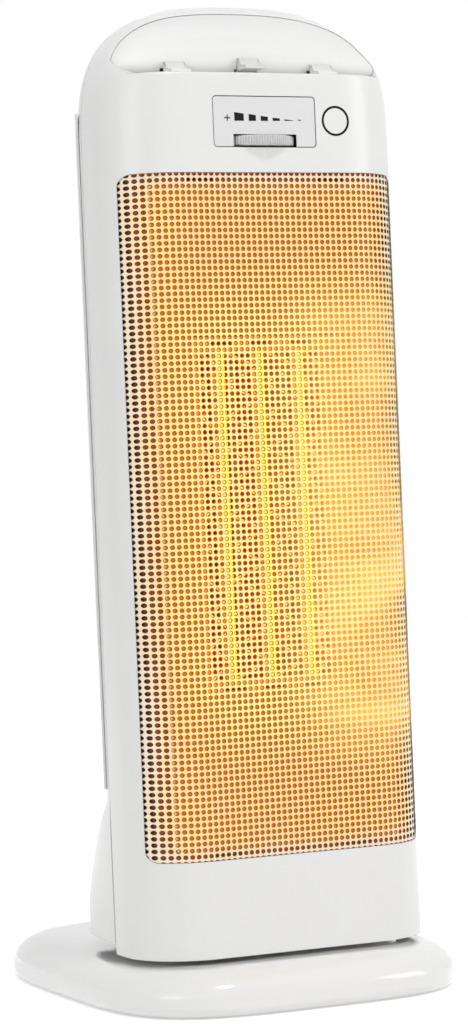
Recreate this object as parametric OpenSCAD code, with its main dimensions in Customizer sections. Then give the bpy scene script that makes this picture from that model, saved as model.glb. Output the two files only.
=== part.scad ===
// Oscillating tower fan heater with a ceramic heating block behind a perforated front.
// Frame: X to the right, Y to the back, Z up, origin on the floor under the middle of the base.

/* [Tower] */
// Width of the tower
body_w = 175; // [165:1:195]
// Distance from the middle of the base forward to the tower's front face
front_reach = 102; // [100:1:106]
// Radius of the tower's two front corners, seen from above
corner_r = 38.5; // [36:0.5:42]
// Depth of the front shell, from the front face to its seam with the rear cover
shell_depth = 55; // [52:1:60]
// Depth from the start of the rounded back to the rearmost point of the upper tower
back_depth = 62; // [58:1:70]
// Depth from the start of the rounded back to the rearmost point of the flared lower back
flare_depth = 104; // [98:1:108]
// Wall thickness of the plastic shells
wall = 2.4; // [2:0.1:3]
// Height of the front shell's lower edge above the floor
body_bottom = 28; // [27:0.5:29]
// Height of the shelf that carries the keys
lip_z = 505.5; // [500:0.5:512]
// Height of the tower's top
crest_z = 547.5; // [540:0.5:556]
// Distance from the front face back to the foot of the sloping top cover
cover_setback = 20; // [18:0.5:23]
// Width of the rim left round the top cover
rim_w = 4.5; // [3.5:0.5:7]

/* [Grille] */
// Width of the grille window, seen from the front
window_w = 164; // [156:1:166]
// Height of the grille window's lower edge
window_low = 80.5; // [76:0.5:90]
// Height of the grille window's upper edge
window_high = 451; // [440:0.5:455]
// Radius of the window's corners
window_r = 6; // [5:1:16]
// How far the grille lies behind the shell's front face
grille_inset = 1; // [0.6:0.1:1.5]
// Thickness of the grille sheet
grille_t = 1.2; // [0.8:0.1:1.5]
// Distance between neighbouring holes in the grille
hole_pitch = 10.2; // [9.5:0.1:14]
// Diameter of a hole in the grille
hole_d = 6.3; // [4:0.1:7]

/* [Heater and fan] */
// Height of the heating block's middle
heater_mid_z = 266; // [255:0.5:275]
// Length of the heating block's ceramic bars
bar_len = 180; // [160:1:186]
// Distance between neighbouring ceramic bars
bar_pitch = 23.7; // [20:0.1:24]
// Number of ceramic bars
bar_count = 3; // [2:1:3]
// Thickness of a ceramic bar
bar_t = 3; // [2:0.1:4]
// Depth of the bars and fins along the air flow
fin_depth = 10; // [8:0.5:10.5]
// Height of one fold of the corrugated fins
fold_pitch = 17; // [8:0.5:18]
// Outer diameter of the fan wheel
wheel_d = 58; // [50:1:60]
// Number of blades on the fan wheel
blade_count = 20; // [12:1:24]
// Diameter of the fan shaft
fan_shaft_d = 5; // [4:0.5:6]

/* [Controls] */
// Width of the control panel
panel_w = 61; // [58:0.1:66]
// Height of the control panel
panel_h = 27.5; // [26:0.1:30]
// Height of the control panel's lower edge
panel_low = 465; // [461:0.5:466]
// Sideways offset of the control panel
panel_shift = -1.4; // [-3:0.1:3]
// Width of the window for the thumbwheel
slot_w = 37.6; // [36:0.1:42]
// Height of the window for the thumbwheel
slot_h = 6.9; // [6.5:0.1:9]
// Diameter of the thumbwheel
thumb_d = 54; // [50:0.5:56]
// How far the thumbwheel stands out of the front face
thumb_out = 4.5; // [3:0.1:6]
// Width of a key
key_w = 12.2; // [10:0.1:14]
// Distance between neighbouring keys
key_pitch = 44; // [38:0.5:48]
// Sideways offset of the middle key
key_shift = -1.5; // [-3:0.5:3]
// Travel of a key
key_travel = 2.7; // [2:0.1:3]

/* [Base and swivel] */
// Width of the base
base_w = 210; // [208:1:230]
// Depth of the base
base_d = 264; // [250:1:280]
// Height of the base in the middle
base_h = 25.5; // [24.5:0.1:26]
// Squareness of the base's outline, where 2 is an ellipse
base_power = 3.8; // [2.8:0.1:4]
// How far the rubber feet stand below the base
foot_h = 1.5; // [1:0.1:2]
// Distance of the swivel axis behind the tower's front face
pivot_depth = 77; // [74:1:82]
// Diameter of the swivel column's journal
journal_d = 22; // [21:0.5:24]
// Diameter of the cable way through the column
cable_way_d = 10; // [8:0.5:12]
// Distance from the swivel axis to the crank's axis
crank_offset = 32; // [31:0.5:34]
// Throw of the crank as a share of its distance from the swivel axis
crank_ratio = 0.577; // [0.56:0.001:0.59]
// Diameter of the crank pin
crank_pin_d = 5; // [4:0.5:6]
// Room on each side of the crank pin in its slot
pin_room = 1.3; // [1.2:0.1:1.8]
// Diameter of the cable bore in the cord gland
gland_bore_d = 7; // [6:0.5:8]

/* [Hidden] */
$fn = 48;
gap = 0.3;
seam = 0.6;
cut = 1;
lap = 0.1;
fit = 0.05;
round_steps = 14;
back_steps = 36;
base_steps = 72;
screw_r = 1.3;
bore_r = 1.5;
head_r = 2.8;
head_h = 1.4;

front_y = -front_reach;
side_y = front_y + corner_r;
back_start = 47;
back_y = front_y + back_start;
seam_y = front_y + shell_depth;
body_hw = body_w / 2;
back_power = 2.2;
flare_power = 3;
flare_top = 112;
flare_low = 52;
rear_bottom = 34;
rear_rise = 18;
arch_power = 3;
arch_rise = 80;
cover_run = 26;
cover_rise = crest_z - lip_z;
pivot_y = front_y + pivot_depth;
panel_t = 1.4;
panel_sink = 0.2;
panel_r = 1.8;

function arc(cx, cy, r, a0, a1) =
  [for (i = [0:round_steps]) let (a = a0 + (a1 - a0) * i / round_steps)
    [cx + r * cos(a), cy + r * sin(a)]];
function power(v, n) = sign(v) * pow(abs(v), 2 / n);
function oval(hw, hd, n, count) =
  [for (i = [0:count - 1]) let (a = 360 * i / count)
    [hw * power(cos(a), n), hd * power(sin(a), n)]];
// Outline of the tower from above, moved inward by o, with a back of a given depth and squareness
function plan(o, depth, n) = concat(
  arc(-body_hw + corner_r, side_y, corner_r - o, 180, 270),
  arc(body_hw - corner_r, side_y, corner_r - o, 270, 360),
  [for (i = [0:back_steps]) let (a = 180 * i / back_steps)
    [(body_hw - o) * power(cos(a), n), back_y + (depth - o) * power(sin(a), n)]]
);
// Arched outline of the tower's top from the front, moved inward by o
function arch(o) = concat(
  [[body_hw - o, 0]],
  [for (i = [0:back_steps]) let (a = 180 * i / back_steps)
    [(body_hw - o) * power(cos(a), arch_power),
     crest_z - arch_rise + (arch_rise - o) * power(sin(a), arch_power)]],
  [[-body_hw + o, 0]]
);
// Outline of the tower from the side: the key shelf, the bulging slope and the level top
slope_shape = [
  [2.5, 0], [0.6, 3.2], [0, 8], [0.7, 14], [3.2, 21.5], [7.6, 28.5], [13, 34], [19, 38], [25, 40.4]
];
slope_size = [25, 41];
crown_start = 4;
// Rounding of the top at the back: distance from the back and drop of each corner
crown = [[25, 0], [9, 4], [0, 14]];
function slope(o) = [for (p = slope_shape)
  [front_y + cover_setback + p[0] * cover_run / slope_size[0] + o,
   lip_z + p[1] * cover_rise / slope_size[1] - o]];
function side(o) = concat(
  [[front_y + o, 0], [front_y + o, lip_z - o]],
  slope(o),
  [[front_y + cover_setback + cover_run + crown_start, crest_z - o],
   [back_y + back_depth - crown[0][0], crest_z - crown[0][1] - o],
   [back_y + back_depth - crown[1][0], crest_z - crown[1][1] - o],
   [back_y + back_depth - crown[2][0] - o, crest_z - crown[2][1] - o],
   [back_y + back_depth - o, 0]]
);

// A solid lofted through rings of points that all have the same count
module loft(rings) {
  n = len(rings[0]);
  m = len(rings);
  points = [for (r = rings) for (p = r) p];
  sides = [for (k = [0:m - 2]) for (i = [0:n - 1]) for (t = [0, 1])
    let (j = (i + 1) % n)
    t == 0 ? [k * n + i, (k + 1) * n + i, k * n + j]
           : [k * n + j, (k + 1) * n + i, (k + 1) * n + j]];
  low = [for (i = [0:n - 1]) i];
  high = [for (i = [n - 1:-1:0]) (m - 1) * n + i];
  polyhedron(points, concat([low], sides, [high]));
}
function at_z(pts, z) = [for (p = pts) [p[0], p[1], z]];

module along_y(y0, y1) {
  translate([0, y1, 0]) rotate([90, 0, 0]) linear_extrude(y1 - y0) children();
}
module along_x(w) {
  rotate([90, 0, 90]) translate([0, 0, -w / 2]) linear_extrude(w) children();
}
module round_rect(w, h, r) {
  square([w - 2 * r, h], center = true);
  square([w, h - 2 * r], center = true);
  for (x = [-1, 1]) for (y = [-1, 1])
    translate([x * (w / 2 - r), y * (h / 2 - r)]) circle(r);
}
module box_at(x0, x1, y0, y1, z0, z1) {
  translate([x0, y0, z0]) cube([x1 - x0, y1 - y0, z1 - z0]);
}
module tube(r1, r0, z0, z1) {
  translate([0, 0, z0]) difference() {
    cylinder(r = r1, h = z1 - z0);
    translate([0, 0, -cut]) cylinder(r = r0, h = z1 - z0 + 2 * cut);
  }
}

// The whole tower as one solid, moved inward by o
module tower_form(o, low) {
  intersection() {
    translate([0, 0, low]) linear_extrude(crest_z) polygon(plan(o, back_depth, back_power));
    along_y(front_y - cut, back_y + back_depth + cut) polygon(arch(o));
    along_x(body_w + 2 * cut) polygon(side(o));
  }
}

// ---- Base ----
base_lip = 2.6;
plate_t = 2.5;
plate_top = foot_h + plate_t;
turret_r = 48;
turret_z = 31;
column_r = journal_d / 2 + 4;
// Height and inward step of each ring of the base's rounded outline
base_curve = [
  [0, 1.6], [2, 0.5], [5, 0], [11, 0.3], [15, 2.6], [18, 5.6],
  [20.2, 9], [21.8, 13], [22.9, 19.5], [23.5, 34]
];
function base_ring(p, t) = let (s = (base_h - foot_h) / base_curve[9][0])
  at_z(oval(base_w / 2 - p[1] - t, base_d / 2 - p[1] - t, base_power, base_steps),
       foot_h + p[0] * s - (p[0] > 0 ? t : cut));
module base_form(t) {
  loft([for (p = base_curve) base_ring(p, t)]);
}
module base_cover() color("white") difference() {
  union() {
    difference() {
      base_form(0);
      difference() {
        base_form(base_lip);
        translate([0, pivot_y, 0]) cylinder(r = turret_r, h = turret_z);
      }
      translate([0, 0, -cut]) linear_extrude(foot_h + cut) square(2 * base_d, center = true);
    }
    translate([0, pivot_y, base_h - base_lip - cut])
      cylinder(r = turret_r, h = turret_z - base_h + base_lip + cut);
  }
  translate([0, pivot_y, 0]) cylinder(r = turret_r - base_lip, h = turret_z - base_lip);
  translate([0, pivot_y, 0]) cylinder(r = column_r + gap, h = turret_z + cut);
  translate([0, 0, foot_h - cut]) linear_extrude(plate_t + cut + gap)
    polygon(oval(plate_hw + gap, plate_hd + gap, base_power, base_steps));
  gland_place() cylinder(r = gland_r + gap, h = 3 * gland_len, center = true);
  translate([0, 0, gap]) screw_places() cylinder(r = bore_r, h = screw_depth);
}
plate_inset = 6;
plate_hw = base_w / 2 - plate_inset;
plate_hd = base_d / 2 - plate_inset;
gland_wall = 2;
gland_r = gland_bore_d / 2 + gland_wall;
nut_rim = 1.3;
nut_r = gland_r + nut_rim;
nut_t = 3;
nut_end = 4;
gland_len = 12;
gland_sink = 0.5;
gland_z = plate_top + gland_r + gland_sink;
screw_spread = 0.3;
screw_depth = 12;
screw_len = 8;
boss_r = 4;
boss_h = 15;
foot_spread = 0.36;
foot_r = [6, 7];
bolt_len = 6;
tip_x = -(turret_r + base_w / 2) / 2;
tip_y = -30;
tip_r = 3;
module gland_place() {
  translate([0, base_d / 2 - gland_sink, gland_z]) rotate([90, 0, 0]) children();
}
module screw_places() {
  for (x = [-1, 1]) for (y = [-1, 1])
    translate([x * base_w * screw_spread, y * base_d * screw_spread, foot_h]) children();
}
module base_plate() color("gainsboro") difference() {
  union() {
    translate([0, 0, foot_h]) linear_extrude(plate_t)
      polygon(oval(plate_hw, plate_hd, base_power, base_steps));
    screw_places() cylinder(r = boss_r, h = boss_h);
  }
  gland_place() translate([0, 0, -cut]) cylinder(r = nut_r + gap, h = gland_len + 2 * cut);
  screw_places() translate([0, 0, -cut]) cylinder(r = bore_r, h = screw_len + cut);
  translate([tip_x, tip_y, 0]) cylinder(r = tip_r + gap, h = 3 * plate_t);
  bolt_places() cylinder(r = bore_r, h = 3 * plate_t);
}
module rubber_feet() color("dimgray") for (x = [-1, 1]) for (y = [-1, 1])
  translate([x * base_w * foot_spread, y * base_d * screw_spread, 0])
    cylinder(r1 = foot_r[0], r2 = foot_r[1], h = foot_h);
module screw(shank) {
  translate([0, 0, -head_h]) cylinder(r = head_r, h = head_h);
  translate([0, 0, -lap]) cylinder(r = screw_r, h = shank);
}
module base_screws() color("silver") {
  screw_places() screw(screw_len);
  translate([0, 0, foot_h]) bolt_places() screw(bolt_len);
}
journal_low = turret_z;
chassis_z = 32.8;
chassis_t = 3;
bush_top = 38;
ring_z = bush_top + 0.4;
ring_t = 1.5;
arm_z = ring_z + ring_t;
arm_t = 3;
column_top = arm_z + arm_t + 2;
journal_step = 2;
top_r = journal_d / 2 - journal_step;
throw_r = crank_offset * crank_ratio;
bolt_circle_r = column_r + 6;
flange_r = column_r + 11;
flange_t = 4;
bolt_depth = 12;
cable_exit = 9;
slide_band = [18, 4];
slide_t = 1.5;
ring_rim = 3;
arm_rim = 6;
arm_side = 5;
arm_end = 2.5;
slot_half = crank_pin_d / 2 + pin_room;
module bolt_places() {
  for (a = [45:90:315]) translate([0, pivot_y, 0]) rotate(a) translate([bolt_circle_r, 0, 0]) children();
}
module pivot_column() color("lightgray") difference() {
  translate([0, pivot_y, 0]) {
    translate([0, 0, plate_top]) cylinder(r = flange_r, h = flange_t);
    translate([0, 0, plate_top]) cylinder(r = column_r, h = journal_low - plate_top);
    translate([0, 0, journal_low - cut]) cylinder(r = journal_d / 2, h = ring_z - journal_low + cut);
    translate([0, 0, ring_z - cut]) cylinder(r = top_r, h = column_top - ring_z + cut);
  }
  bolt_places() cylinder(r = screw_r, h = bolt_depth);
  translate([0, pivot_y, 0]) cylinder(r = cable_way_d / 2, h = column_top + cut);
  translate([0, pivot_y, plate_top + cable_exit]) rotate([-90, 0, 0])
    cylinder(r = cable_way_d / 2 - 1, h = 2 * column_r);
}
module slide_ring() color("ivory") translate([0, pivot_y, 0])
  tube(turret_r - slide_band[1], turret_r - slide_band[0], turret_z, turret_z + slide_t);
module retaining_ring() color("silver") translate([0, pivot_y, 0])
  tube(journal_d / 2 + ring_rim, top_r, ring_z, ring_z + ring_t);
module slot_arm() color("silver") drive_place() difference() {
  union() {
    translate([0, 0, arm_z]) cylinder(r = top_r + arm_rim, h = arm_t);
    translate([-slot_half - arm_side, 0, arm_z])
      cube([2 * (slot_half + arm_side), crank_offset + throw_r + slot_half + arm_end, arm_t]);
  }
  translate([0, 0, arm_z - cut]) cylinder(r = top_r, h = arm_t + 2 * cut);
  translate([-slot_half, crank_offset - throw_r - slot_half, arm_z - cut])
    cube([2 * slot_half, 2 * throw_r + 2 * slot_half, arm_t + 2 * cut]);
}
module cord_gland() color("whitesmoke") gland_place() difference() {
  union() {
    cylinder(r = gland_r, h = gland_len);
    translate([0, 0, gland_len - nut_end]) cylinder(r = nut_r, h = nut_t, $fn = 6);
  }
  translate([0, 0, -cut]) cylinder(r = gland_bore_d / 2, h = gland_len + 2 * cut);
}
tip_travel = 4;
tip_flange = 1.2;
tip_bore = 6;
switch_low = plate_top + tip_travel + tip_flange + 2 * gap;
tip_hw = 10;
tip_hd = 6;
tip_leg = 3;
tip_h = 8;
tip_room = 2;
tip_rim = 1.4;
module tip_switch() color("black") translate([tip_x, tip_y, 0]) difference() {
  union() {
    box_at(-tip_hw, tip_hw, -tip_hd, tip_hd, switch_low, switch_low + tip_h);
    for (x = [-tip_hw, tip_hw - tip_leg])
      box_at(x, x + tip_leg, -tip_hd, tip_hd, plate_top, switch_low + cut);
  }
  translate([0, 0, switch_low - cut]) cylinder(r = tip_r + gap, h = tip_bore + cut);
}
module tip_plunger() color("red") translate([tip_x, tip_y, 0]) {
  cylinder(r = tip_r, h = switch_low + tip_bore - tip_room);
  translate([0, 0, plate_top + tip_travel + gap]) cylinder(r = tip_r + tip_rim, h = tip_flange);
}

// ---- Swivelling tower: floor, drive ----
motor_z = 54;
motor_r = 25;
motor_h = 14;
neck_r = 9;
neck_h = 3;
plug = [9, 12, 8];
plug_lap = 4;
crank_z = arm_z + arm_t + 1;
crank_t = 4;
crank_hub_r = 7;
crank_arm_hw = 4;
shaft_r = 3;
shaft_len = 8;
post_r = 4;
post_spots = [[-46, 28], [46, 28], [-20, 60], [20, 60]];
bracket_t = 2.5;
bracket_shape = [[-52, 22], [52, 22], [52, 36], [27, 66], [-27, 66], [-52, 36]];
// The drive points forward from the swivel axis
module drive_place() {
  translate([0, pivot_y, 0]) rotate(180) children();
}
tray_rim = 2;
tray_hw = 52;
tray_reach = 26;
tray_end = pivot_y + tray_reach;
tray_rim_z = 48;
tray_back = 2;
tray_lap = 4;
bush_rim = 3;
hub_rim = 6;
// Outline of the floor tray from above, moved inward by o
module tray_shape(o) {
  intersection() {
    polygon(plan(wall + gap + o, back_depth, back_power));
    translate([-body_w, front_y]) square([2 * body_w, shell_depth - tray_back - o]);
  }
  translate([-tray_hw + o, seam_y - tray_lap - o])
    square([2 * tray_hw - 2 * o, tray_end - seam_y + tray_lap]);
}
module chassis() color("gainsboro") difference() {
  union() {
    translate([0, 0, chassis_z]) linear_extrude(chassis_t) tray_shape(0);
    translate([0, 0, chassis_z]) linear_extrude(tray_rim_z - chassis_z) difference() {
      tray_shape(0);
      tray_shape(tray_rim);
    }
    translate([0, pivot_y, chassis_z]) cylinder(r = journal_d / 2 + hub_rim, h = bush_top - 1 - chassis_z);
  }
  translate([0, pivot_y, 0]) cylinder(r = journal_d / 2 + bush_rim, h = lip_z);
}
module swivel_bush() color("ivory") translate([0, pivot_y, 0]) {
  tube(journal_d / 2 + bush_rim, journal_d / 2 + fit, chassis_z, bush_top);
}
module swing_motor() color("silver") drive_place() translate([0, crank_offset, 0]) difference() {
  union() {
    translate([0, 0, motor_z]) cylinder(r = motor_r, h = motor_h);
    translate([0, 0, motor_z + motor_h - lap]) cylinder(r = neck_r, h = neck_h);
    translate([motor_r - plug_lap, -plug[1] / 2, motor_z + 2]) cube(plug);
  }
  translate([0, 0, motor_z - cut]) cylinder(r = shaft_r + fit, h = shaft_len + 4);
}
module motor_bracket() color("silver") drive_place() difference() {
  union() {
    translate([0, 0, motor_z - bracket_t]) linear_extrude(bracket_t) polygon(bracket_shape);
    for (p = post_spots) translate([p[0], p[1], chassis_z + chassis_t])
      cylinder(r = post_r, h = motor_z - bracket_t + lap - chassis_z - chassis_t);
  }
  translate([0, crank_offset, 0]) cylinder(r = neck_r, h = 2 * motor_z);
}
module crank() color("white") drive_place() translate([0, crank_offset, 0]) {
  translate([0, 0, crank_z]) {
    cylinder(r = crank_hub_r, h = crank_t);
    translate([-crank_arm_hw, 0, 0]) cube([2 * crank_arm_hw, throw_r, crank_t]);
    translate([0, throw_r, 0]) cylinder(r = crank_arm_hw, h = crank_t);
  }
  translate([0, throw_r, arm_z + gap]) cylinder(r = crank_pin_d / 2, h = crank_z - arm_z);
  translate([0, 0, crank_z + crank_t - lap])
    cylinder(r = shaft_r, h = motor_z + shaft_len - crank_z - crank_t);
}

// ---- Tower shells ----
cover_depth = 20;
cover_end_y = front_y + cover_setback + cover_depth;
cover_inset = 0.5;
key_reach = 11;
key_front_y = front_y + cover_setback - key_reach;
notch_side = 2.4;
notch = [12, 7.2];
neck_lap = 2;
key_bay = 10;
// The keys' necks pass through low notches in the foot of the cover
module key_notches() {
  for (k = [-1:1])
    translate([key_shift + k * key_pitch - key_w / 2 - notch_side, key_front_y + key_reach - neck_lap,
               lip_z - cut])
      cube([key_w + notch_side + gap, notch[0], notch[1] + cut]);
}
boss_len = 10;
case_boss_r = 4.5;
web_t = 3;
module front_boss() {
  intersection() {
    tower_form(wall / 2, body_bottom);
    for (x = [-1, 1]) for (z = [screw_low_z, screw_high_z])
      translate([x * screw_x, seam_y - seam / 2, z]) rotate([90, 0, 0]) {
        cylinder(r = case_boss_r, h = boss_len);
        translate([x > 0 ? 0 : -body_hw, -web_t / 2, 0]) cube([body_hw, web_t, boss_len]);
      }
  }
}
module thumb_slot(depth) {
  box_at(panel_shift - slot_w / 2, panel_shift + slot_w / 2, front_y - cut, front_y + depth,
         panel_low - gap, panel_low + slot_h);
}
module front_shell() color("white") difference() {
  union() {
    difference() {
      intersection() {
        tower_form(0, body_bottom);
        box_at(-body_w, body_w, front_y - cut, seam_y - seam / 2, body_bottom, crest_z + cut);
      }
      tower_form(wall, body_bottom - 2 * wall);
    }
    front_boss();
  }
  for (x = [-1, 1]) for (z = [screw_low_z, screw_high_z])
    translate([x * screw_x, seam_y, z]) rotate([90, 0, 0]) cylinder(r = screw_r, h = boss_len - cut);
  intersection() {
    along_y(front_y - cut, cover_end_y) polygon(arch(rim_w));
    box_at(-body_w, body_w, front_y - cut, cover_end_y, lip_z, crest_z + cut);
  }
  translate([0, 0, (window_low + window_high) / 2]) along_y(front_y - cut, front_y + corner_r)
    round_rect(window_w, window_high - window_low, window_r);
  translate([panel_shift, 0, panel_low + panel_h / 2]) along_y(front_y - cut, front_y + panel_t)
    round_rect(panel_w + gap, panel_h + gap, panel_r);
  thumb_slot(2 * wall);
  for (k = [-1:1])
    translate([key_shift + k * key_pitch - key_w / 2 - gap, key_front_y + key_reach - neck_lap,
               lip_z - 2 * wall])
      cube([key_w + 2 * gap, key_bay, 4 * wall]);
}
module top_cover() color("white") difference() {
  intersection() {
    tower_form(cover_inset, body_bottom);
    along_y(front_y - cut, cover_end_y - gap) polygon(arch(rim_w + gap));
    box_at(-body_w, body_w, front_y + cover_setback - cut, cover_end_y - gap, lip_z, crest_z + cut);
  }
  tower_form(wall + cover_inset, body_bottom);
  key_notches();
}
// Share of the flare left at each height of the lower back, from its widest level up
flare_steps = [[flare_low, 1], [80, 0.69], [100, 0.34], [flare_top, 0]];
function flared(z) = lookup(z, flare_steps) * (flare_depth - back_depth) + back_depth;
function flared_power(z) = lookup(z, flare_steps) * (flare_power - back_power) + back_power;
function flare_ring(z, o) = at_z(plan(o, flared(z), flared_power(z)), z);
module flare_form(o) {
  loft(concat([flare_ring(rear_bottom - 2 * flare_lip, o)], [for (p = flare_steps) flare_ring(p[0], o)]));
}
flare_lip = 4;
inlet_low = 118;
inlet_high = 490;
inlet_hw = 62;
inlet_rim = 8;
inlet_room = 20;
inlet_out = 1.2;
panel_start = 14;
// Space below the rear cover's rising lower edge, raised by o
module rear_cut(o) {
  slope_end_y = back_y + 2 * flare_depth;
  rise = rear_rise * (slope_end_y - seam_y) / (back_y + flare_depth - seam_y);
  along_x(2 * body_w) polygon([
    [front_y, -body_w], [front_y, rear_bottom + o], [seam_y, rear_bottom + o],
    [slope_end_y, rear_bottom + rise + o], [slope_end_y, -body_w]]);
}
// Depth of the tower's back at x, for a back of a given depth and squareness
function back_at(x, depth, n) = back_y + depth * pow(1 - pow(abs(x) / body_hw, n), 1 / n);
screw_x = 70;
screw_low_z = 98;
screw_high_z = 498;
head_sink = 5;
screw_low_y = back_at(screw_x, flared(screw_low_z), flared_power(screw_low_z)) - head_sink;
screw_high_y = back_at(screw_x, back_depth, back_power) - head_sink;
rear_boss = [5, 3];
case_head = [3, 1.8];
case_bore_r = 1.6;
case_len = 70;
head_bore_r = 3.4;
// Case screws, each placed with its axis along Y and its head to the back
module case_screw_places() {
  for (x = [-1, 1]) {
    translate([x * screw_x, screw_low_y, screw_low_z]) rotate([90, 0, 0]) children();
    translate([x * screw_x, screw_high_y, screw_high_z]) rotate([90, 0, 0]) children();
  }
}
module rear_cover() color("white") difference() {
  intersection() {
    union() {
      difference() {
        union() {
          tower_form(0, flare_low - flare_lip);
          flare_form(0);
        }
        difference() {
          union() {
            tower_form(wall, body_bottom);
            flare_form(wall);
          }
          rear_cut(wall);
        }
      }
      intersection() {
        case_screw_places() translate([0, 0, -rear_boss[1]]) cylinder(r = rear_boss[0], h = case_len);
        union() {
          tower_form(wall / 2, flare_low);
          flare_form(wall / 2);
        }
      }
    }
    box_at(-body_w, body_w, seam_y + seam / 2, body_w, 0, crest_z + cut);
  }
  rear_cut(0);
  box_at(-tray_hw - gap, tray_hw + gap, front_y, tray_end + gap, 0, tray_rim_z + gap);
  box_at(-inlet_hw, inlet_hw, back_y + inlet_room, body_w, inlet_low + inlet_rim, inlet_high - inlet_rim);
  case_screw_places() translate([0, 0, -lap]) cylinder(r = case_bore_r, h = case_len + cut);
  case_screw_places() translate([0, 0, -case_len]) cylinder(r = head_bore_r, h = case_len);
}
louvre_pitch = 9;
louvre_h = 3.6;
louvre_w = 36;
louvre_gap = 4;
louvre_edge = 14;
louvre_count = floor((inlet_high - inlet_low - 2 * louvre_edge - louvre_h) / louvre_pitch);
module inlet_panel() color("white") difference() {
  intersection() {
    translate([0, 0, inlet_low]) linear_extrude(inlet_high - inlet_low)
      polygon(plan(-gap - inlet_out, back_depth, back_power));
    box_at(-body_w, body_w, back_y + panel_start, body_w, 0, crest_z);
  }
  translate([0, 0, inlet_low - cut]) linear_extrude(inlet_high)
    polygon(plan(-gap, back_depth, back_power));
  for (i = [0:louvre_count]) for (x = [-1:1])
    translate([x * (louvre_w + louvre_gap) - louvre_w / 2, back_y + inlet_room,
               inlet_low + louvre_edge + i * louvre_pitch])
      cube([louvre_w, body_w, louvre_h]);
}
module inlet_filter() color("dimgray") difference() {
  intersection() {
    translate([0, 0, inlet_low + inlet_rim + gap])
      linear_extrude(inlet_high - inlet_low - 2 * (inlet_rim + gap))
        polygon(plan(gap, back_depth, back_power));
    box_at(-inlet_hw + gap, inlet_hw - gap, back_y + inlet_room + cut, body_w, 0, crest_z);
  }
  translate([0, 0, inlet_low - cut]) linear_extrude(inlet_high)
    polygon(plan(gap + inlet_out, back_depth, back_power));
}
grille_rim = 4.8;
grille_cols = floor((window_w - grille_rim) / hole_pitch / 2);
grille_rows = floor((window_high - window_low - 2 * grille_rim) / hole_pitch);
module grille() color("wheat") difference() {
  intersection() {
    translate([0, 0, window_low + gap]) linear_extrude(window_high - window_low - 2 * gap)
      polygon(plan(grille_inset, back_depth, back_power));
    translate([0, 0, (window_low + window_high) / 2]) along_y(front_y - cut, side_y)
      round_rect(window_w - 2 * gap, window_high - window_low - 2 * gap, window_r);
  }
  translate([0, 0, window_low - cut]) linear_extrude(window_high)
    polygon(plan(grille_inset + grille_t, back_depth, back_power));
  for (j = [0:grille_rows - 1]) for (i = [-grille_cols + 1:grille_cols - 1])
    translate([i * hole_pitch, front_y - cut, window_low + grille_rim + hole_d / 2 + j * hole_pitch])
      rotate([-90, 0, 0]) cylinder(r = hole_d / 2, h = corner_r, $fn = 24);
}

// ---- Air guide and control parts ----
guide_over = 5;
guide_low = window_low - guide_over;
guide_high = window_high + guide_over;
guide_t = 1.5;
guide_slot_x = 0.235 * window_w;
guide_slot = [17, 3.4];
guide_slot_edge = [2, 4];
outer_w = 11.5;
heater_hw = (bar_count - 1) * bar_pitch / 2 + bar_t / 2 + outer_w;
heater_back = 21;
heater_y = front_y + heater_back;
heater_low = heater_mid_z - bar_len / 2;
heater_high = heater_mid_z + bar_len / 2;
cap_h = 7.5;
rail_t = 1.5;
open_room = 9.5;
open_over = 1.5;
duct_lap = 2;
open_hw = heater_hw + rail_t + open_room;
open_low = heater_low - cap_h - gap;
open_high = heater_high + cap_h + open_over;
duct_end = heater_y + duct_lap;
guide_end_x = body_hw - wall - gap;
corner_scale = corner_r / 41;
// Air guide in the tower's corner: sideways from the corner's middle and backward from the front face
guide_curve = [[12.5, 5], [15.5, 10], [25.5, 16], [33.5, 25]];
guide_half = concat(
  [[0, guide_curve[0][1] * corner_scale]],
  [for (p = guide_curve) [body_hw - corner_r + p[0] * corner_scale, p[1] * corner_scale]],
  [[guide_end_x, corner_r - 2]]
);
guide_last = len(guide_half) - 1;
function guide_line(back) = [for (i = [-guide_last:guide_last]) let (p = guide_half[abs(i)])
  [sign(i) * p[0], front_y + p[1] + back]];
function reversed(v) = [for (i = [len(v) - 1:-1:0]) v[i]];
module guide_outline() {
  polygon(concat(guide_line(0), reversed(guide_line(guide_t))));
}
// Space in front of the back of the air guide, kept clear by the decks
module guide_space() {
  polygon(concat([[-body_w, front_y]], [[-body_w, front_y + corner_r]], guide_line(guide_t + gap),
                 [[body_w, front_y + corner_r]], [[body_w, front_y]]));
}
// The guide is a bent sheet with a short square duct that leads the air from the heating block
module air_guide() color("antiquewhite") difference() {
  union() {
    translate([0, 0, guide_low]) linear_extrude(guide_high - guide_low) guide_outline();
    box_at(-open_hw - guide_t, open_hw + guide_t, front_y + guide_half[0][1], duct_end,
           open_low - guide_t, open_high + guide_t);
  }
  box_at(-open_hw, open_hw, front_y, duct_end + cut, open_low, open_high);
  for (x = [-1, 1]) for (z = [window_low + guide_slot_edge[0], window_high - guide_slot_edge[1]])
    box_at(x * guide_slot_x - guide_slot[0] / 2, x * guide_slot_x + guide_slot[0] / 2,
           front_y, heater_y, z, z + guide_slot[1]);
}
module control_panel() color("gainsboro") difference() {
  translate([panel_shift, 0, panel_low + panel_h / 2]) along_y(front_y + panel_sink, front_y + panel_t)
    round_rect(panel_w - gap, panel_h - gap, panel_r);
  thumb_slot(2 * panel_t);
}
thumb_y = front_y - thumb_out + thumb_d / 2;
thumb_room = 0.4;
thumb_t = slot_h - 2 * thumb_room;
thumb_z = panel_low + thumb_room;
thumb_shaft = 10;
rib_count = 112;
rib_h = 0.6;
thermo_h = 16;
thermo_w = 26;
thermo_drop = 3.4;
thermo_z = thumb_z - thermo_drop - thermo_h;
thermo_ear = [12, 3];
thermo_pin = [4, 1, 8];
thermo_pin_x = 20;
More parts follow.
